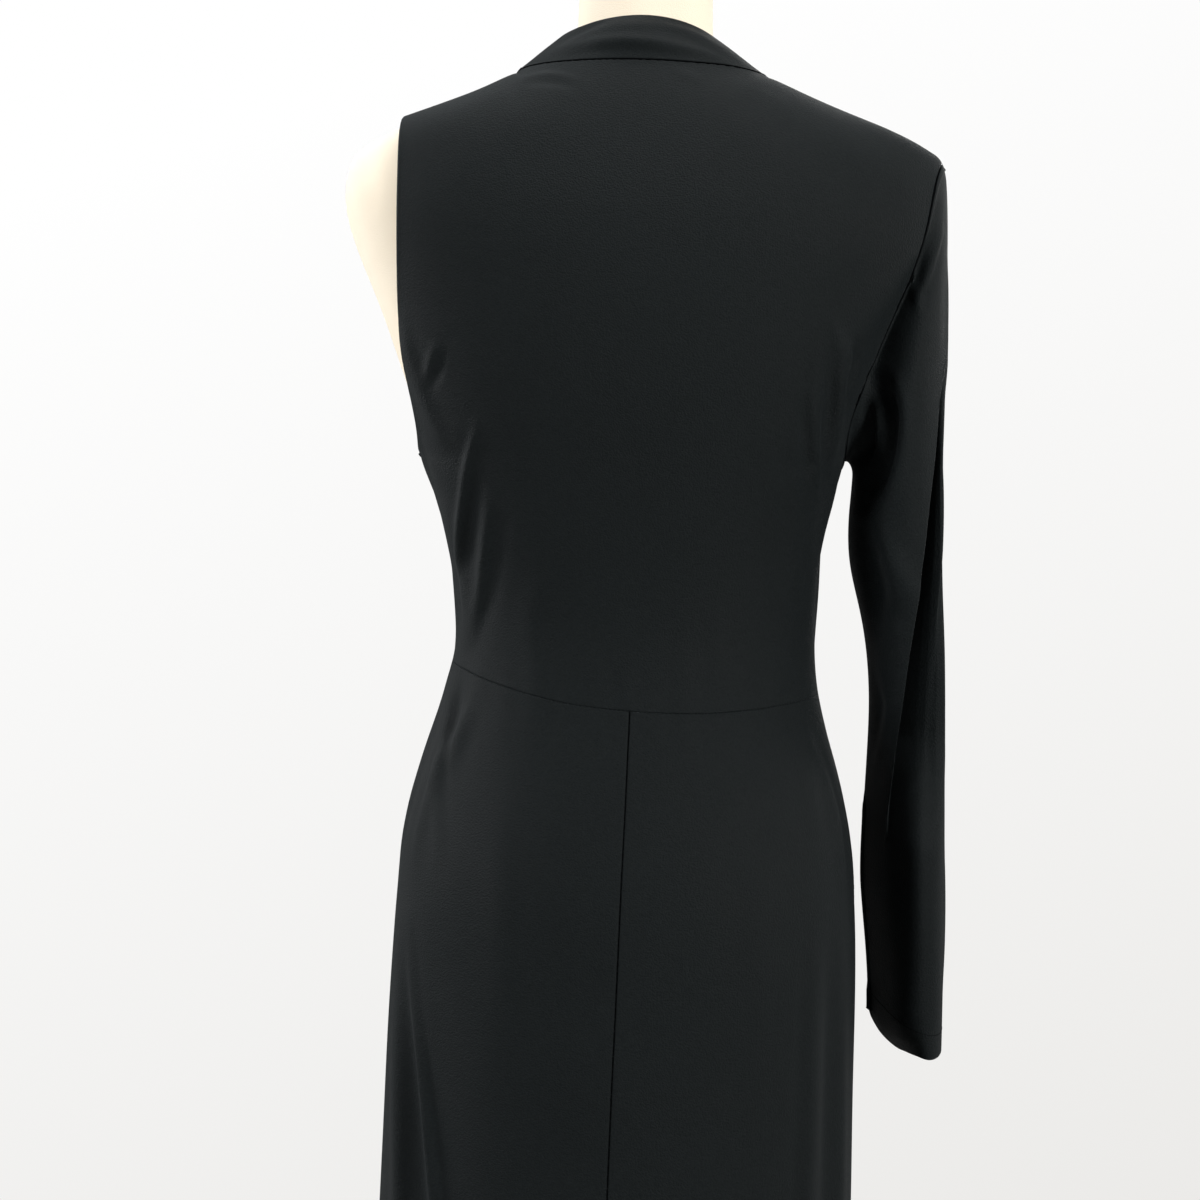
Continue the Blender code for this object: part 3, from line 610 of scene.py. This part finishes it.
bodiceBack = (
    (((0.085, 1.442), (0.068, 1.445), (0.057, 1.443), (0.044, 1.437)), 0.0010, 0.0030, 0.3),
    (((0.081, 1.438), (0.067, 1.438), (0.057, 1.437), (0.046, 1.433)), -0.0010, 0.0034, 0.0),
    (((-0.018, 1.447), (-0.030, 1.444), (-0.040, 1.439)), 0.0006, 0.0034, 0.2),
    (((-0.060, 1.440), (-0.088, 1.428), (-0.104, 1.414)), 0.0007, 0.0070, 0.3),
    (((0.159, 1.276), (0.154, 1.250), (0.147, 1.232), (0.138, 1.212), (0.128, 1.190)), 0.0022, 0.0048, 0.2),
    (((0.128, 1.254), (0.133, 1.240), (0.139, 1.228)), -0.0018, 0.0032, 0.0),
    (((0.135, 1.258), (0.139, 1.245), (0.143, 1.234)), 0.0014, 0.0030, 0.2),
    (((0.106, 1.204), (0.112, 1.175), (0.116, 1.144), (0.118, 1.106)), 0.0040, 0.0030, 0.3),
    (((0.102, 1.193), (0.107, 1.168), (0.109, 1.141), (0.112, 1.102)), -0.0016, 0.0042, 0.0),
    (((0.096, 1.160), (0.099, 1.125), (0.102, 1.095), (0.107, 1.060)), 0.0028, 0.0036, 0.3),
    (((0.088, 1.148), (0.092, 1.108), (0.097, 1.071)), -0.0014, 0.0055, 0.0),
    (((0.114, 1.108), (0.110, 1.081), (0.113, 1.050)), 0.0016, 0.0060, 0.0),
    (((0.064, 1.105), (0.068, 1.075), (0.065, 1.045)), 0.0008, 0.0070, 0.2),
    (((-0.127, 1.280), (-0.135, 1.256), (-0.135, 1.221), (-0.133, 1.183)), 0.0030, 0.0038, -0.3),
    (((-0.126, 1.256), (-0.128, 1.227), (-0.126, 1.188)), -0.0024, 0.0038, 0.0),
    (((-0.116, 1.238), (-0.120, 1.200), (-0.124, 1.154)), 0.0024, 0.0042, 0.2),
    (((-0.112, 1.254), (-0.111, 1.213), (-0.116, 1.174)), -0.0016, 0.0042, 0.0),
    (((-0.138, 1.269), (-0.142, 1.248)), 0.0018, 0.0030, 0.0),
    (((-0.145, 1.270), (-0.146, 1.254), (-0.142, 1.234)), -0.0018, 0.0030, 0.0),
    (((-0.109, 1.183), (-0.108, 1.133), (-0.111, 1.088)), 0.0012, 0.0060, 0.2),
    (((-0.092, 1.195), (-0.093, 1.162), (-0.094, 1.125)), 0.0009, 0.0055, 0.2),
    (((-0.060, 1.090), (-0.058, 1.060), (-0.062, 1.040)), 0.0006, 0.0070, 0.0),
)
bodiceFront = (
    (((0.070, 1.438), (0.086, 1.412), (0.094, 1.380)), 0.0021, 0.0070, 0.3),
    (((-0.064, 1.436), (-0.050, 1.404), (-0.030, 1.372), (-0.014, 1.350)), 0.0018, 0.0075, -0.3),
    (((0.112, 1.330), (0.092, 1.300), (0.078, 1.276)), 0.0021, 0.0065, 0.2),
    (((0.140, 1.236), (0.118, 1.246), (0.094, 1.250)), 0.0023, 0.0060, 0.3),
    (((0.138, 1.205), (0.112, 1.218), (0.084, 1.226)), 0.0018, 0.0055, -0.2),
    (((-0.146, 1.262), (-0.126, 1.246), (-0.104, 1.240)), 0.0027, 0.0060, 0.3),
    (((-0.146, 1.230), (-0.124, 1.222), (-0.096, 1.224)), 0.0021, 0.0055, 0.2),
    (((-0.140, 1.340), (-0.118, 1.312), (-0.096, 1.292)), 0.0018, 0.0070, 0.2),
    (((0.090, 1.190), (0.082, 1.150), (0.078, 1.105), (0.070, 1.060)), 0.0019, 0.0065, 0.3),
    (((0.050, 1.170), (0.046, 1.120), (0.044, 1.075)), 0.0014, 0.0070, 0.0),
    (((-0.048, 1.175), (-0.046, 1.130), (-0.052, 1.080)), 0.0016, 0.0065, -0.2),
    (((-0.090, 1.185), (-0.086, 1.140), (-0.076, 1.085)), 0.0019, 0.0060, 0.2),
    (((0.004, 1.190), (0.000, 1.140), (0.006, 1.100)), 0.0010, 0.0080, 0.0),
)
flankLeft = (
    (((0.040, 1.225), (0.020, 1.195), (0.010, 1.160)), 0.0021, 0.0055, 0.3),
    (((-0.040, 1.215), (-0.020, 1.185), (-0.006, 1.140)), 0.0024, 0.0058, -0.3),
    (((0.050, 1.150), (0.036, 1.115), (0.034, 1.070)), 0.0018, 0.0060, 0.2),
    (((-0.046, 1.140), (-0.040, 1.100), (-0.030, 1.066)), 0.0016, 0.0060, 0.0),
    (((0.012, 1.110), (0.006, 1.080), (0.010, 1.052)), 0.0015, 0.0055, 0.2),
)
flankRight = (
    (((0.036, 1.190), (0.022, 1.160), (0.018, 1.120)), 0.0019, 0.0058, 0.3),
    (((-0.034, 1.180), (-0.018, 1.140), (-0.016, 1.100)), 0.0021, 0.0058, -0.2),
    (((0.000, 1.130), (0.006, 1.095), (0.000, 1.062)), 0.0015, 0.0060, 0.0),
)
sleeveBack = (
    (((-0.206, 1.352), (-0.196, 1.318), (-0.187, 1.293)), 0.0030, 0.0031, 0.3),
    (((-0.177, 1.325), (-0.184, 1.310), (-0.190, 1.290)), 0.0011, 0.0034, -0.3),
    (((-0.193, 1.345), (-0.189, 1.324), (-0.188, 1.308)), -0.0006, 0.0034, 0.0),
    (((-0.158, 1.232), (-0.159, 1.212), (-0.157, 1.192)), -0.0075, 0.0036, 0.0),
    (((-0.161, 1.228), (-0.163, 1.216), (-0.162, 1.203), (-0.160, 1.190)), 0.0022, 0.0018, 0.0),
    (
        (
            (-0.163, 1.246), (-0.171, 1.228), (-0.172, 1.211),
            (-0.171, 1.195), (-0.167, 1.179), (-0.162, 1.162),
        ),
        -0.0105, 0.0060, 0.1,
    ),
    (((-0.154, 1.218), (-0.157, 1.198), (-0.159, 1.178), (-0.157, 1.152)), -0.0060, 0.0075, 0.0),
    (((-0.160, 1.160), (-0.170, 1.128), (-0.184, 1.106), (-0.199, 1.092)), 0.0030, 0.0100, 0.2),
    (((-0.159, 1.152), (-0.162, 1.125), (-0.165, 1.095), (-0.167, 1.064)), -0.0062, 0.0080, 0.0),
    (((-0.164, 1.128), (-0.172, 1.098), (-0.186, 1.074)), -0.0016, 0.0080, 0.0),
    (
        ((-0.166, 1.062), (-0.169, 1.042), (-0.174, 1.023), (-0.172, 0.997), (-0.169, 0.970)),
        -0.0026, 0.0034, 0.2,
    ),
    (((-0.188, 0.960), (-0.184, 0.920), (-0.186, 0.880), (-0.190, 0.840)), 0.0012, 0.0070, 0.3),
    (((-0.205, 0.930), (-0.204, 0.880), (-0.207, 0.835)), 0.0010, 0.0070, -0.2),
)
sleeveFront = (
    (((-0.200, 1.345), (-0.190, 1.310), (-0.184, 1.270)), 0.0018, 0.0055, 0.3),
    (((-0.172, 1.300), (-0.178, 1.270), (-0.180, 1.240)), 0.0016, 0.0050, 0.0),
    (((-0.166, 1.230), (-0.178, 1.204), (-0.186, 1.170)), 0.0020, 0.0055, 0.3),
    (((-0.204, 1.220), (-0.202, 1.170), (-0.206, 1.120)), 0.0020, 0.0060, -0.3),
    (((-0.210, 1.130), (-0.196, 1.108), (-0.178, 1.096)), 0.0024, 0.0058, 0.3),
    (((-0.210, 1.098), (-0.194, 1.080), (-0.176, 1.072)), 0.0020, 0.0052, 0.2),
    (((-0.208, 1.066), (-0.196, 1.050), (-0.182, 1.046)), 0.0014, 0.0050, 0.0),
    (((-0.190, 1.030), (-0.194, 0.980), (-0.190, 0.920)), 0.0020, 0.0060, 0.4),
    (((-0.206, 0.960), (-0.208, 0.910), (-0.206, 0.860)), 0.0014, 0.0060, 0.0),
    (((-0.176, 0.890), (-0.182, 0.850), (-0.184, 0.820)), 0.0012, 0.0055, 0.2),
)
sleeveOuter = (
    (((0.020, 1.330), (0.014, 1.290), (0.018, 1.240)), 0.0016, 0.0060, 0.3),
    (((-0.016, 1.310), (-0.012, 1.260), (-0.020, 1.210)), 0.0014, 0.0060, 0.0),
    (((0.006, 1.190), (0.000, 1.140), (0.006, 1.080)), 0.0016, 0.0070, 0.2),
    (((-0.018, 1.040), (-0.014, 0.990), (-0.020, 0.930)), 0.0014, 0.0065, 0.0),
    (((0.000, 0.920), (-0.008, 0.870), (-0.004, 0.830)), 0.0012, 0.0060, 0.0),
)
skirtBack = (
    (((0.119, 1.033), (0.124, 0.997), (0.128, 0.964), (0.126, 0.944), (0.122, 0.915)), 0.0026, 0.0046, 0.3),
    (((0.105, 1.024), (0.114, 0.995), (0.120, 0.969)), 0.0018, 0.0042, -0.2),
    (((0.115, 1.030), (0.119, 1.004), (0.123, 0.983)), -0.0018, 0.0034, 0.0),
    (((0.139, 0.975), (0.141, 0.940), (0.142, 0.900)), 0.0014, 0.0060, 0.2),
    (((0.144, 0.872), (0.139, 0.821), (0.132, 0.784), (0.125, 0.741), (0.118, 0.692), (0.108, 0.620),
      (0.100, 0.530)), 0.0062, 0.0038, 0.4),
    (((0.146, 0.855), (0.142, 0.798), (0.137, 0.751), (0.132, 0.687), (0.124, 0.600)), -0.0040, 0.0070, 0.0),
    (((0.151, 0.885), (0.149, 0.773), (0.145, 0.681), (0.145, 0.560)), 0.0030, 0.0050, 0.2),
    (((0.085, 0.960), (0.080, 0.880), (0.076, 0.780)), 0.0009, 0.0100, 0.2),
    (((-0.118, 1.010), (-0.124, 0.980), (-0.126, 0.940)), 0.0012, 0.0060, 0.2),
    (
        ((-0.127, 0.885), (-0.126, 0.824), (-0.126, 0.771), (-0.125, 0.702), (-0.126, 0.580)),
        0.0030, 0.0070, -0.3,
    ),
    (((-0.137, 0.870), (-0.139, 0.795), (-0.140, 0.698), (-0.142, 0.590)), -0.0024, 0.0060, 0.0),
    (((-0.148, 0.890), (-0.150, 0.789), (-0.151, 0.691), (-0.154, 0.580)), 0.0020, 0.0050, 0.0),
    (((-0.086, 0.930), (-0.088, 0.850), (-0.084, 0.760)), 0.0009, 0.0100, 0.0),
)
skirtFront = (
    (((0.110, 1.022), (0.116, 0.990), (0.112, 0.940)), 0.0020, 0.0060, 0.3),
    (((0.070, 1.012), (0.074, 0.975), (0.070, 0.930)), 0.0014, 0.0070, 0.0),
    (((0.130, 0.930), (0.132, 0.850), (0.126, 0.750), (0.128, 0.620)), 0.0036, 0.0085, 0.3),
    (((-0.112, 1.012), (-0.116, 0.970), (-0.110, 0.925)), 0.0018, 0.0060, 0.2),
    (((-0.128, 0.920), (-0.126, 0.840), (-0.130, 0.740), (-0.126, 0.640)), 0.0034, 0.0085, -0.2),
    (((0.020, 0.950), (0.026, 0.870), (0.022, 0.790)), 0.0013, 0.0100, 0.0),
    (((-0.050, 0.930), (-0.046, 0.850), (-0.052, 0.760)), 0.0014, 0.0100, 0.2),
)
skirtLeft = (
    (((0.060, 1.010), (0.050, 0.970), (0.056, 0.920)), 0.0020, 0.0060, 0.2),
    (((0.010, 1.015), (0.014, 0.965), (0.008, 0.900)), 0.0022, 0.0065, 0.3),
    (((-0.046, 1.005), (-0.040, 0.955), (-0.048, 0.900)), 0.0017, 0.0060, 0.0),
)
skirtRight = (
    (((0.050, 1.000), (0.046, 0.950), (0.054, 0.890)), 0.0018, 0.0062, 0.2),
    (((0.000, 1.005), (-0.006, 0.950), (0.002, 0.880)), 0.0021, 0.0066, 0.0),
    (((-0.050, 1.000), (-0.048, 0.940), (-0.056, 0.880)), 0.0017, 0.0060, -0.2),
)
foldsByView = (
    # table, side that it is seen from, panels that it shapes
    (collarBack, "back", ("collar",)),
    (collarFront, "front", ("collar",)),
    (bodiceBack, "back", bodiceNodes),
    (bodiceFront, "front", bodiceNodes),
    (flankLeft, "left", bodiceNodes),
    (flankRight, "right", bodiceNodes),
    (sleeveBack, "back", ("sleeve_right",)),
    (sleeveFront, "front", ("sleeve_right",)),
    (sleeveOuter, "right", ("sleeve_right",)),
    (skirtBack, "back", skirtNodes),
    (skirtFront, "front", skirtNodes),
    (skirtLeft, "left", skirtNodes),
    (skirtRight, "right", skirtNodes),
)
height = np.zeros(count)
for folds, view, nodes in foldsByView:
    height += foldHeights(folds, view, nodes)

# Long drapes that grow towards the hem: where each starts round the skirt in degrees, how far it drifts by
# the hem, the height at which it starts, how far it stands out at the hem, and its width there.
drapes = (
    (8, 4, 0.78, 0.0090, 0.030),
    (31, -3, 0.66, 0.0120, 0.034),
    (52, 5, 0.52, 0.0080, 0.026),
    (76, -4, 0.60, 0.0100, 0.032),
    (104, 3, 0.50, 0.0085, 0.028),
    (127, -5, 0.62, 0.0115, 0.033),
    (151, 4, 0.70, 0.0090, 0.028),
    (174, -3, 0.76, 0.0105, 0.032),
    (203, 4, 0.58, 0.0085, 0.029),
    (226, -4, 0.64, 0.0120, 0.035),
    (249, 3, 0.50, 0.0080, 0.026),
    (271, -2, 0.60, 0.0100, 0.032),
    (294, 4, 0.54, 0.0090, 0.028),
    (317, -4, 0.66, 0.0115, 0.034),
    (341, 3, 0.72, 0.0085, 0.027),
)
drapeShape = {
    "topWidth": 0.55,  # a drape's width where it starts, against that at the hem
    "growth": 1.5,  # above 1, a drape grows mostly near the hem
    "drawnIn": 0.42,  # share of its height by which each drape draws in the whole hem
}
hemHeight = float(place[:, 2].min())
angle = np.degrees(np.arctan2(place[:, 1], place[:, 0]))
radius = np.hypot(place[:, 0], place[:, 1])
for start, drift, top, rise, width in drapes:
    part = np.clip((top - place[:, 2]) / (top - hemHeight), 0.0, 1.0)
    away = (angle - start - drift * part + 180.0) % 360.0 - 180.0
    wide = width * (drapeShape["topWidth"] + (1.0 - drapeShape["topWidth"]) * part)
    far = np.radians(away) * radius / wide
    bump = np.exp(-far * far) - drapeShape["drawnIn"]
    height += onSkirt * rise * part ** drapeShape["growth"] * bump

# Small ripples where the waist seam gathers the cloth, and a slow unevenness all over.
ripple = {
    "height": 0.00022,
    "seamAt": 1.026,
    "reach": 0.045,
    "waves": ((0, 310, 0.7, 1.0), (0, 191, 2.1, 0.8), (1, 263, 0.0, 0.6)),  # axis, rate, start, share
}
unevenness = {"height": 0.0007, "across": 16, "down": 9, "collarShare": 0.4, "edgeShare": 0.4}
nearWaist = smoothStep(ripple["reach"], 0.0, np.abs(place[:, 2] - ripple["seamAt"]))
nearWaist *= member[:, :2].any(axis=1) | onSkirt
waves = sum(share * np.sin(place[:, axis] * rate + start) for axis, rate, start, share in ripple["waves"])
height += ripple["height"] * waves * nearWaist
scale = Vector((unevenness["across"], unevenness["across"], unevenness["down"]))
uneven = np.array([noise.noise(Vector(point) * scale) for point in place])
height += unevenness["height"] * uneven * np.where(member[:, collar], unevenness["collarShare"], 1.0)
height = np.where(openEdge & ~onSkirt, height * unevenness["edgeShare"], height)
height -= np.where(atArmhole, 0.0, sunk)
place = place + out * height[:, None]

# The collar's back leans in towards the neck.
collarLean = {"depth": 0.0065, "heights": (1.4575, 1.4900), "fromFront": (0.005, 0.035)}
leanShare = member[:, collar] * smoothStep(*collarLean["heights"], place[:, 2])
leanShare *= smoothStep(*collarLean["fromFront"], place[:, 1])
place[:, 1] -= collarLean["depth"] * leanShare

# The cuff hangs lower on its inner side, which also stands a little further out.
cuff = {
    "heights": (0.900, 0.815),
    "across": (-0.2220, -0.2075, -0.1970, -0.1820, -0.1660),
    "drop": (0.0, 0.0024, 0.0069, 0.0097, 0.0088),
    "innerSide": (-0.200, -0.172),
    "innerShift": 0.0052,
}
lowShare = smoothStep(*cuff["heights"], place[:, 2]) * member[:, sleeve]
innerShare = smoothStep(*cuff["innerSide"], place[:, 0])
place[:, 2] -= lowShare * np.interp(place[:, 0], cuff["across"], cuff["drop"])
place[:, 0] -= lowShare * innerShare * cuff["innerShift"]

# Small shifts that round the sleeve's shoulder: middle (x, z), reach, shift (x, z).
shoulderShifts = (
    ((-0.2108, 1.3950), 0.0045, (0.0013, -0.0003)),
    ((-0.2060, 1.3990), 0.0100, (-0.0003, 0.0024)),
    ((-0.1850, 1.4150), 0.0150, (0.0000, -0.0010)),
)
for (x, z), reach, (dx, dz) in shoulderShifts:
    share = np.exp(-((place[:, 0] - x) ** 2 + (place[:, 2] - z) ** 2) / reach ** 2)
    place[:, 0] += dx * share
    place[:, 2] += dz * share

for v in seamed.verts:
    v.co = place[v.index]
rimVerts = [v for v in seamed.verts if v.is_boundary]
innerVerts = [v for v in seamed.verts if not v.is_boundary]
for _ in range(gown["lastPasses"]):
    relax(seamed, innerVerts, gown["lastSmooth"])
    middles = []
    for v in rimVerts:
        sides = [edge.other_vert(v).co for edge in v.link_edges if edge.is_boundary]
        middles.append(sum(sides, Vector()) / len(sides))
    for v, middle in zip(rimVerts, middles):
        v.co = v.co.lerp(middle, gown["rimSmooth"])
seamed.normal_update()
outLayer = seamed.verts.layers.float_vector.new("outward")
depthLayer = seamed.verts.layers.float.new("grooveDepth")
for v in seamed.verts:
    v[outLayer] = v.normal
    if onSeam[v.index]:
        counted = v.co.dot(Vector(gown["stitchWay"])) / gown["stitchPitch"]
        beat = math.sin(counted * math.tau)
        pair = tuple(np.nonzero(member[v.index])[0])
        deep, pull = seams.get(pair, seams["other"])
        v[depthLayer] = deep * (1.0 + pull * beat)
print("folds placed, up to", round(float(np.abs(height).max()) * 1000, 1), "mm")

# Dark thread bars: along the seams they are thick enough to stand in for the shade in each seam's groove
# (painted shade), and above each turned edge they are a line of real stitches.
threadsAndSeamShade = {
    # panels that meet: the dark thread's radius, which sets the width of the painted seam shade, how much of
    # each stretch it covers
    (0, 2): (0.00095, 1.0),
    (1, 2): (0.00095, 1.0),
    (0, 3): (0.00055, 0.85),
    (1, 3): (0.00055, 0.85),
    (4, 5): (0.00024, 0.95),
    "other": (0.00008, 0.40),
    "turned": (0.00022, 0.65),
}
shadeAndStitchShape = {
    "flatness": 0.8,  # a stitch's height against its width
    "shoulderTip": (1.370, 1.394),  # between these heights the armhole's thread grows thin
    "tipShare": 0.8,
    "rimReach": 0.06,  # how far up from its lowest point an open edge is looked for
}
turned = (
    # panels, height of the line of stitches above the open edge
    (("sleeve_right",), 0.018),
    (skirtNodes, 0.022),
)


def addShadeAndStitchBar(target, edge, radius, share):
    # One four-sided bar of dark thread along an edge of the cloth: a stitch above a turned edge, and painted
    # seam shade along a seam.
    start, end = edge.verts
    out = (start.normal + end.normal).normalized()
    along = end.co - start.co
    side = out.cross(along).normalized()
    turn = Matrix((side, out * shadeAndStitchShape["flatness"], along.normalized())).transposed()
    bmesh.ops.create_cone(
        target,
        cap_ends=True,
        segments=4,
        radius1=radius,
        radius2=radius,
        depth=along.length * share,
        matrix=Matrix.Translation((start.co + end.co) / 2.0) @ turn.to_4x4(),
    )


shadeAndStitchBars = bmesh.new()
for edge in seamed.edges:
    pair = tuple(sorted({face.material_index for face in edge.link_faces}))
    if len(pair) == 2:
        radius, share = threadsAndSeamShade.get(pair, threadsAndSeamShade["other"])
        if pair[1] == sleeve:
            tip = float(smoothStep(*shadeAndStitchShape["shoulderTip"], edge.verts[0].co.z))
            radius *= 1.0 - shadeAndStitchShape["tipShare"] * tip
        addShadeAndStitchBar(shadeAndStitchBars, edge, radius, share)
for nodes, above in turned:
    sheet = seamed.copy()
    onlyPanels(sheet, {nodeNames.index(node) for node in nodes})
    low = min(v.co.z for v in sheet.verts)
    rim = np.array([v.co for v in sheet.verts if v.is_boundary and v.co.z < low + shadeAndStitchShape["rimReach"]])
    middle = rim.mean(axis=0)
    upright = np.linalg.svd(rim - middle)[2][2]
    upright *= np.sign(upright[2])
    cut = bmesh.ops.bisect_plane(
        sheet,
        geom=sheet.verts[:] + sheet.edges[:] + sheet.faces[:],
        plane_co=middle + upright * above,
        plane_no=upright,
    )
    for part in cut["geom_cut"]:
        if isinstance(part, bmesh.types.BMEdge):
            addShadeAndStitchBar(shadeAndStitchBars, part, *threadsAndSeamShade["turned"])
    sheet.free()
bmesh.ops.recalc_face_normals(shadeAndStitchBars, faces=shadeAndStitchBars.faces)
print("stitches:", len(shadeAndStitchBars.verts) // 8)
shadeAndStitchMesh = finishedMesh("seamStitches", shadeAndStitchBars)
shadeAndStitchMesh.materials.append(threadAndSeamShadeMaterial)
shadeAndStitchPiece = addObject("seamStitches", shadeAndStitchMesh)
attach(shadeAndStitchPiece, "root")
folded = finishedMesh("foldedGown", seamed)


def paintClothMap(mesh, middle, facing):
    # Distance round and height of each corner, in metres, so that the knit's wales run down the cloth.
    ways = np.empty(len(mesh.loops), dtype=np.int32)
    mesh.loops.foreach_get("vertex_index", ways)
    spots = positions(mesh)
    turns = np.arctan2(spots[:, 1] - middle[1], spots[:, 0] - middle[0]) - math.radians(facing)
    across = np.hypot(spots[:, 0] - middle[0], spots[:, 1] - middle[1])
    away = (turns[ways] + math.pi) % math.tau - math.pi
    for polygon in mesh.polygons:
        corners = slice(polygon.loop_start, polygon.loop_start + polygon.loop_total)
        own = away[corners]
        away[corners] = own[0] + (own - own[0] + math.pi) % math.tau - math.pi
    values = np.stack([away * float(across.mean()), spots[ways, 2], np.zeros(len(ways))], axis=1)
    layer = mesh.attributes.new("clothMap", "FLOAT_VECTOR", "CORNER")
    layer.data.foreach_set("vector", values.ravel().astype(np.float32))


def clothPiece(node):
    # One panel of the gown as a thin shell, with a groove along its seams and a doubled edge where open.
    name, middle, facing, hem = panels[node]
    cloth = bmesh.new()
    cloth.from_mesh(folded)
    outward = cloth.verts.layers.float_vector["outward"]
    depth = cloth.verts.layers.float["grooveDepth"]
    onlyPanels(cloth, {nodeNames.index(node)})
    bmesh.ops.inset_region(
        cloth, faces=cloth.faces, thickness=gown["grooveWidth"], use_boundary=True, use_even_offset=True
    )
    cloth.verts.ensure_lookup_table()
    openPlaces = []
    for v in cloth.verts:
        if v.is_boundary:
            if v[depth] > 0.0:
                v.co -= v[outward] * v[depth]
            else:
                openPlaces.append(v.co.copy())
                v.co -= v[outward] * gown["edgeRoll"]
    for face in cloth.faces:
        face.smooth = True
        face.material_index = 0
    mesh = finishedMesh(name, cloth)
    for attribute in ("outward", "grooveDepth"):
        mesh.attributes.remove(mesh.attributes[attribute])
    paintClothMap(mesh, middle, facing)
    mesh.materials.append(jerseyMaterial)
    piece = addObject(name, mesh)
    shell = piece.modifiers.new("clothShell", "SOLIDIFY")
    shell.thickness = gown["clothThickness"]
    shell.offset = -1.0
    shell.use_rim = True
    spots = positions(mesh)
    near = np.full(len(spots), np.inf)
    for openPlace in np.array(openPlaces)[::2]:
        near = np.minimum(near, np.linalg.norm(spots - openPlace, axis=1))
    weights = piece.vertex_groups.new(name="doubledEdge")
    weights.add(np.nonzero(near < hem)[0].tolist(), 1.0, "REPLACE")
    weights.add(np.nonzero(near >= hem)[0].tolist(), gown["plainShare"], "REPLACE")
    shell.vertex_group = "doubledEdge"
    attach(piece, "root")
    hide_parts(node)
    print("cloth piece", name, len(mesh.polygons), "faces")
    return piece


cloths = {node: clothPiece(node) for node in nodeNames}
bpy.data.meshes.remove(folded)
bpy.data.meshes.remove(fine)

# The limbless dress form, with a cloth cover.
form = {
    "cream": (0.86, 0.745, 0.575),
    "pale": (0.90, 0.80, 0.65),
    "wearPatches": (9.0, 4.0),
    "weavePatches": (1300.0, 2.0),
    "weaveBump": (0.35, 0.0004),
    "roughness": 0.85,
    "sheen": 0.15,
    "mergeReach": 0.00002,
    "quadAngles": (math.radians(40), math.radians(60)),
}
formMaterial, tree, shader = newMaterial("formCover")
wearMask = addPatches(tree, *form["wearPatches"])
weaveMask = addPatches(tree, *form["weavePatches"])
tree.links.new(addColours(tree, wearMask, form["cream"], form["pale"]), shader.inputs["Base Color"])
tree.links.new(addBump(tree, weaveMask, *form["weaveBump"]), shader.inputs["Normal"])
shader.inputs["Roughness"].default_value = form["roughness"]
shader.inputs["Sheen Weight"].default_value = form["sheen"]
cover = bmesh.new()
cover.from_mesh(bpy.data.objects["form_torso"].data)
bmesh.ops.remove_doubles(cover, verts=cover.verts, dist=form["mergeReach"])
bmesh.ops.join_triangles(
    cover,
    faces=cover.faces,
    angle_face_threshold=form["quadAngles"][0],
    angle_shape_threshold=form["quadAngles"][1],
)
for face in cover.faces:
    face.smooth = True
    face.material_index = 0
coverMesh = finishedMesh("paddedForm", cover)
coverMesh.materials.append(formMaterial)
formPiece = addObject("paddedForm", coverMesh)
rounding = formPiece.modifiers.new("rounding", "SUBSURF")
rounding.levels = rounding.render_levels = 1
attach(formPiece, "root")
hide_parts("form_torso")
print("form made")

# Brushed steel on the stand's pole and base.
stand = {
    "dark": (0.55, 0.55, 0.56),
    "light": (0.64, 0.64, 0.65),
    "patches": (30.0, 3.0),
    "brushStretch": (220.0, 220.0, 3.0),
    "brushScale": 8.0,
    "roughness": (0.26, 0.44),
    "bump": (0.12, 0.0002),
}
steelMaterial, tree, shader = newMaterial("brushedSteel")
steelMask = addPatches(tree, *stand["patches"])
brushWay = addNode(tree, "TexCoord", {}).outputs["Object"]
brushWay = addNode(tree, "Mapping", {"Vector": brushWay, "Scale": stand["brushStretch"]}).outputs[0]
brushed = addNode(tree, "TexNoise", {"Vector": brushWay, "Scale": stand["brushScale"]}).outputs["Fac"]
tree.links.new(addColours(tree, steelMask, stand["dark"], stand["light"]), shader.inputs["Base Color"])
tree.links.new(addRange(tree, brushed, *stand["roughness"]), shader.inputs["Roughness"])
tree.links.new(addBump(tree, brushed, *stand["bump"]), shader.inputs["Normal"])
shader.inputs["Metallic"].default_value = 1.0
for node in ("form_pole", "form_base"):
    bpy.data.objects[node].material_slots[0].material = steelMaterial
print("stand finished")

# A round pale floor.
ground = {
    "radius": 2.4,
    "segments": 96,
    "dark": (0.40, 0.39, 0.38),
    "lighter": 1.03,  # the light patches' colour against the dark ones'
    "patches": (2.0, 3.0),
    "roughness": 0.7,
}
disc = bmesh.new()
bmesh.ops.create_circle(disc, cap_ends=True, segments=ground["segments"], radius=ground["radius"])
discMesh = finishedMesh("studioFloor", disc)
floorMaterial, tree, shader = newMaterial("paleFloor")
floorMask = addPatches(tree, *ground["patches"])
floorLight = tuple(part * ground["lighter"] for part in ground["dark"])
tree.links.new(addColours(tree, floorMask, ground["dark"], floorLight), shader.inputs["Base Color"])
shader.inputs["Roughness"].default_value = ground["roughness"]
discMesh.materials.append(floorMaterial)
groundPiece = addObject("studioFloor", discMesh)
print("floor laid")
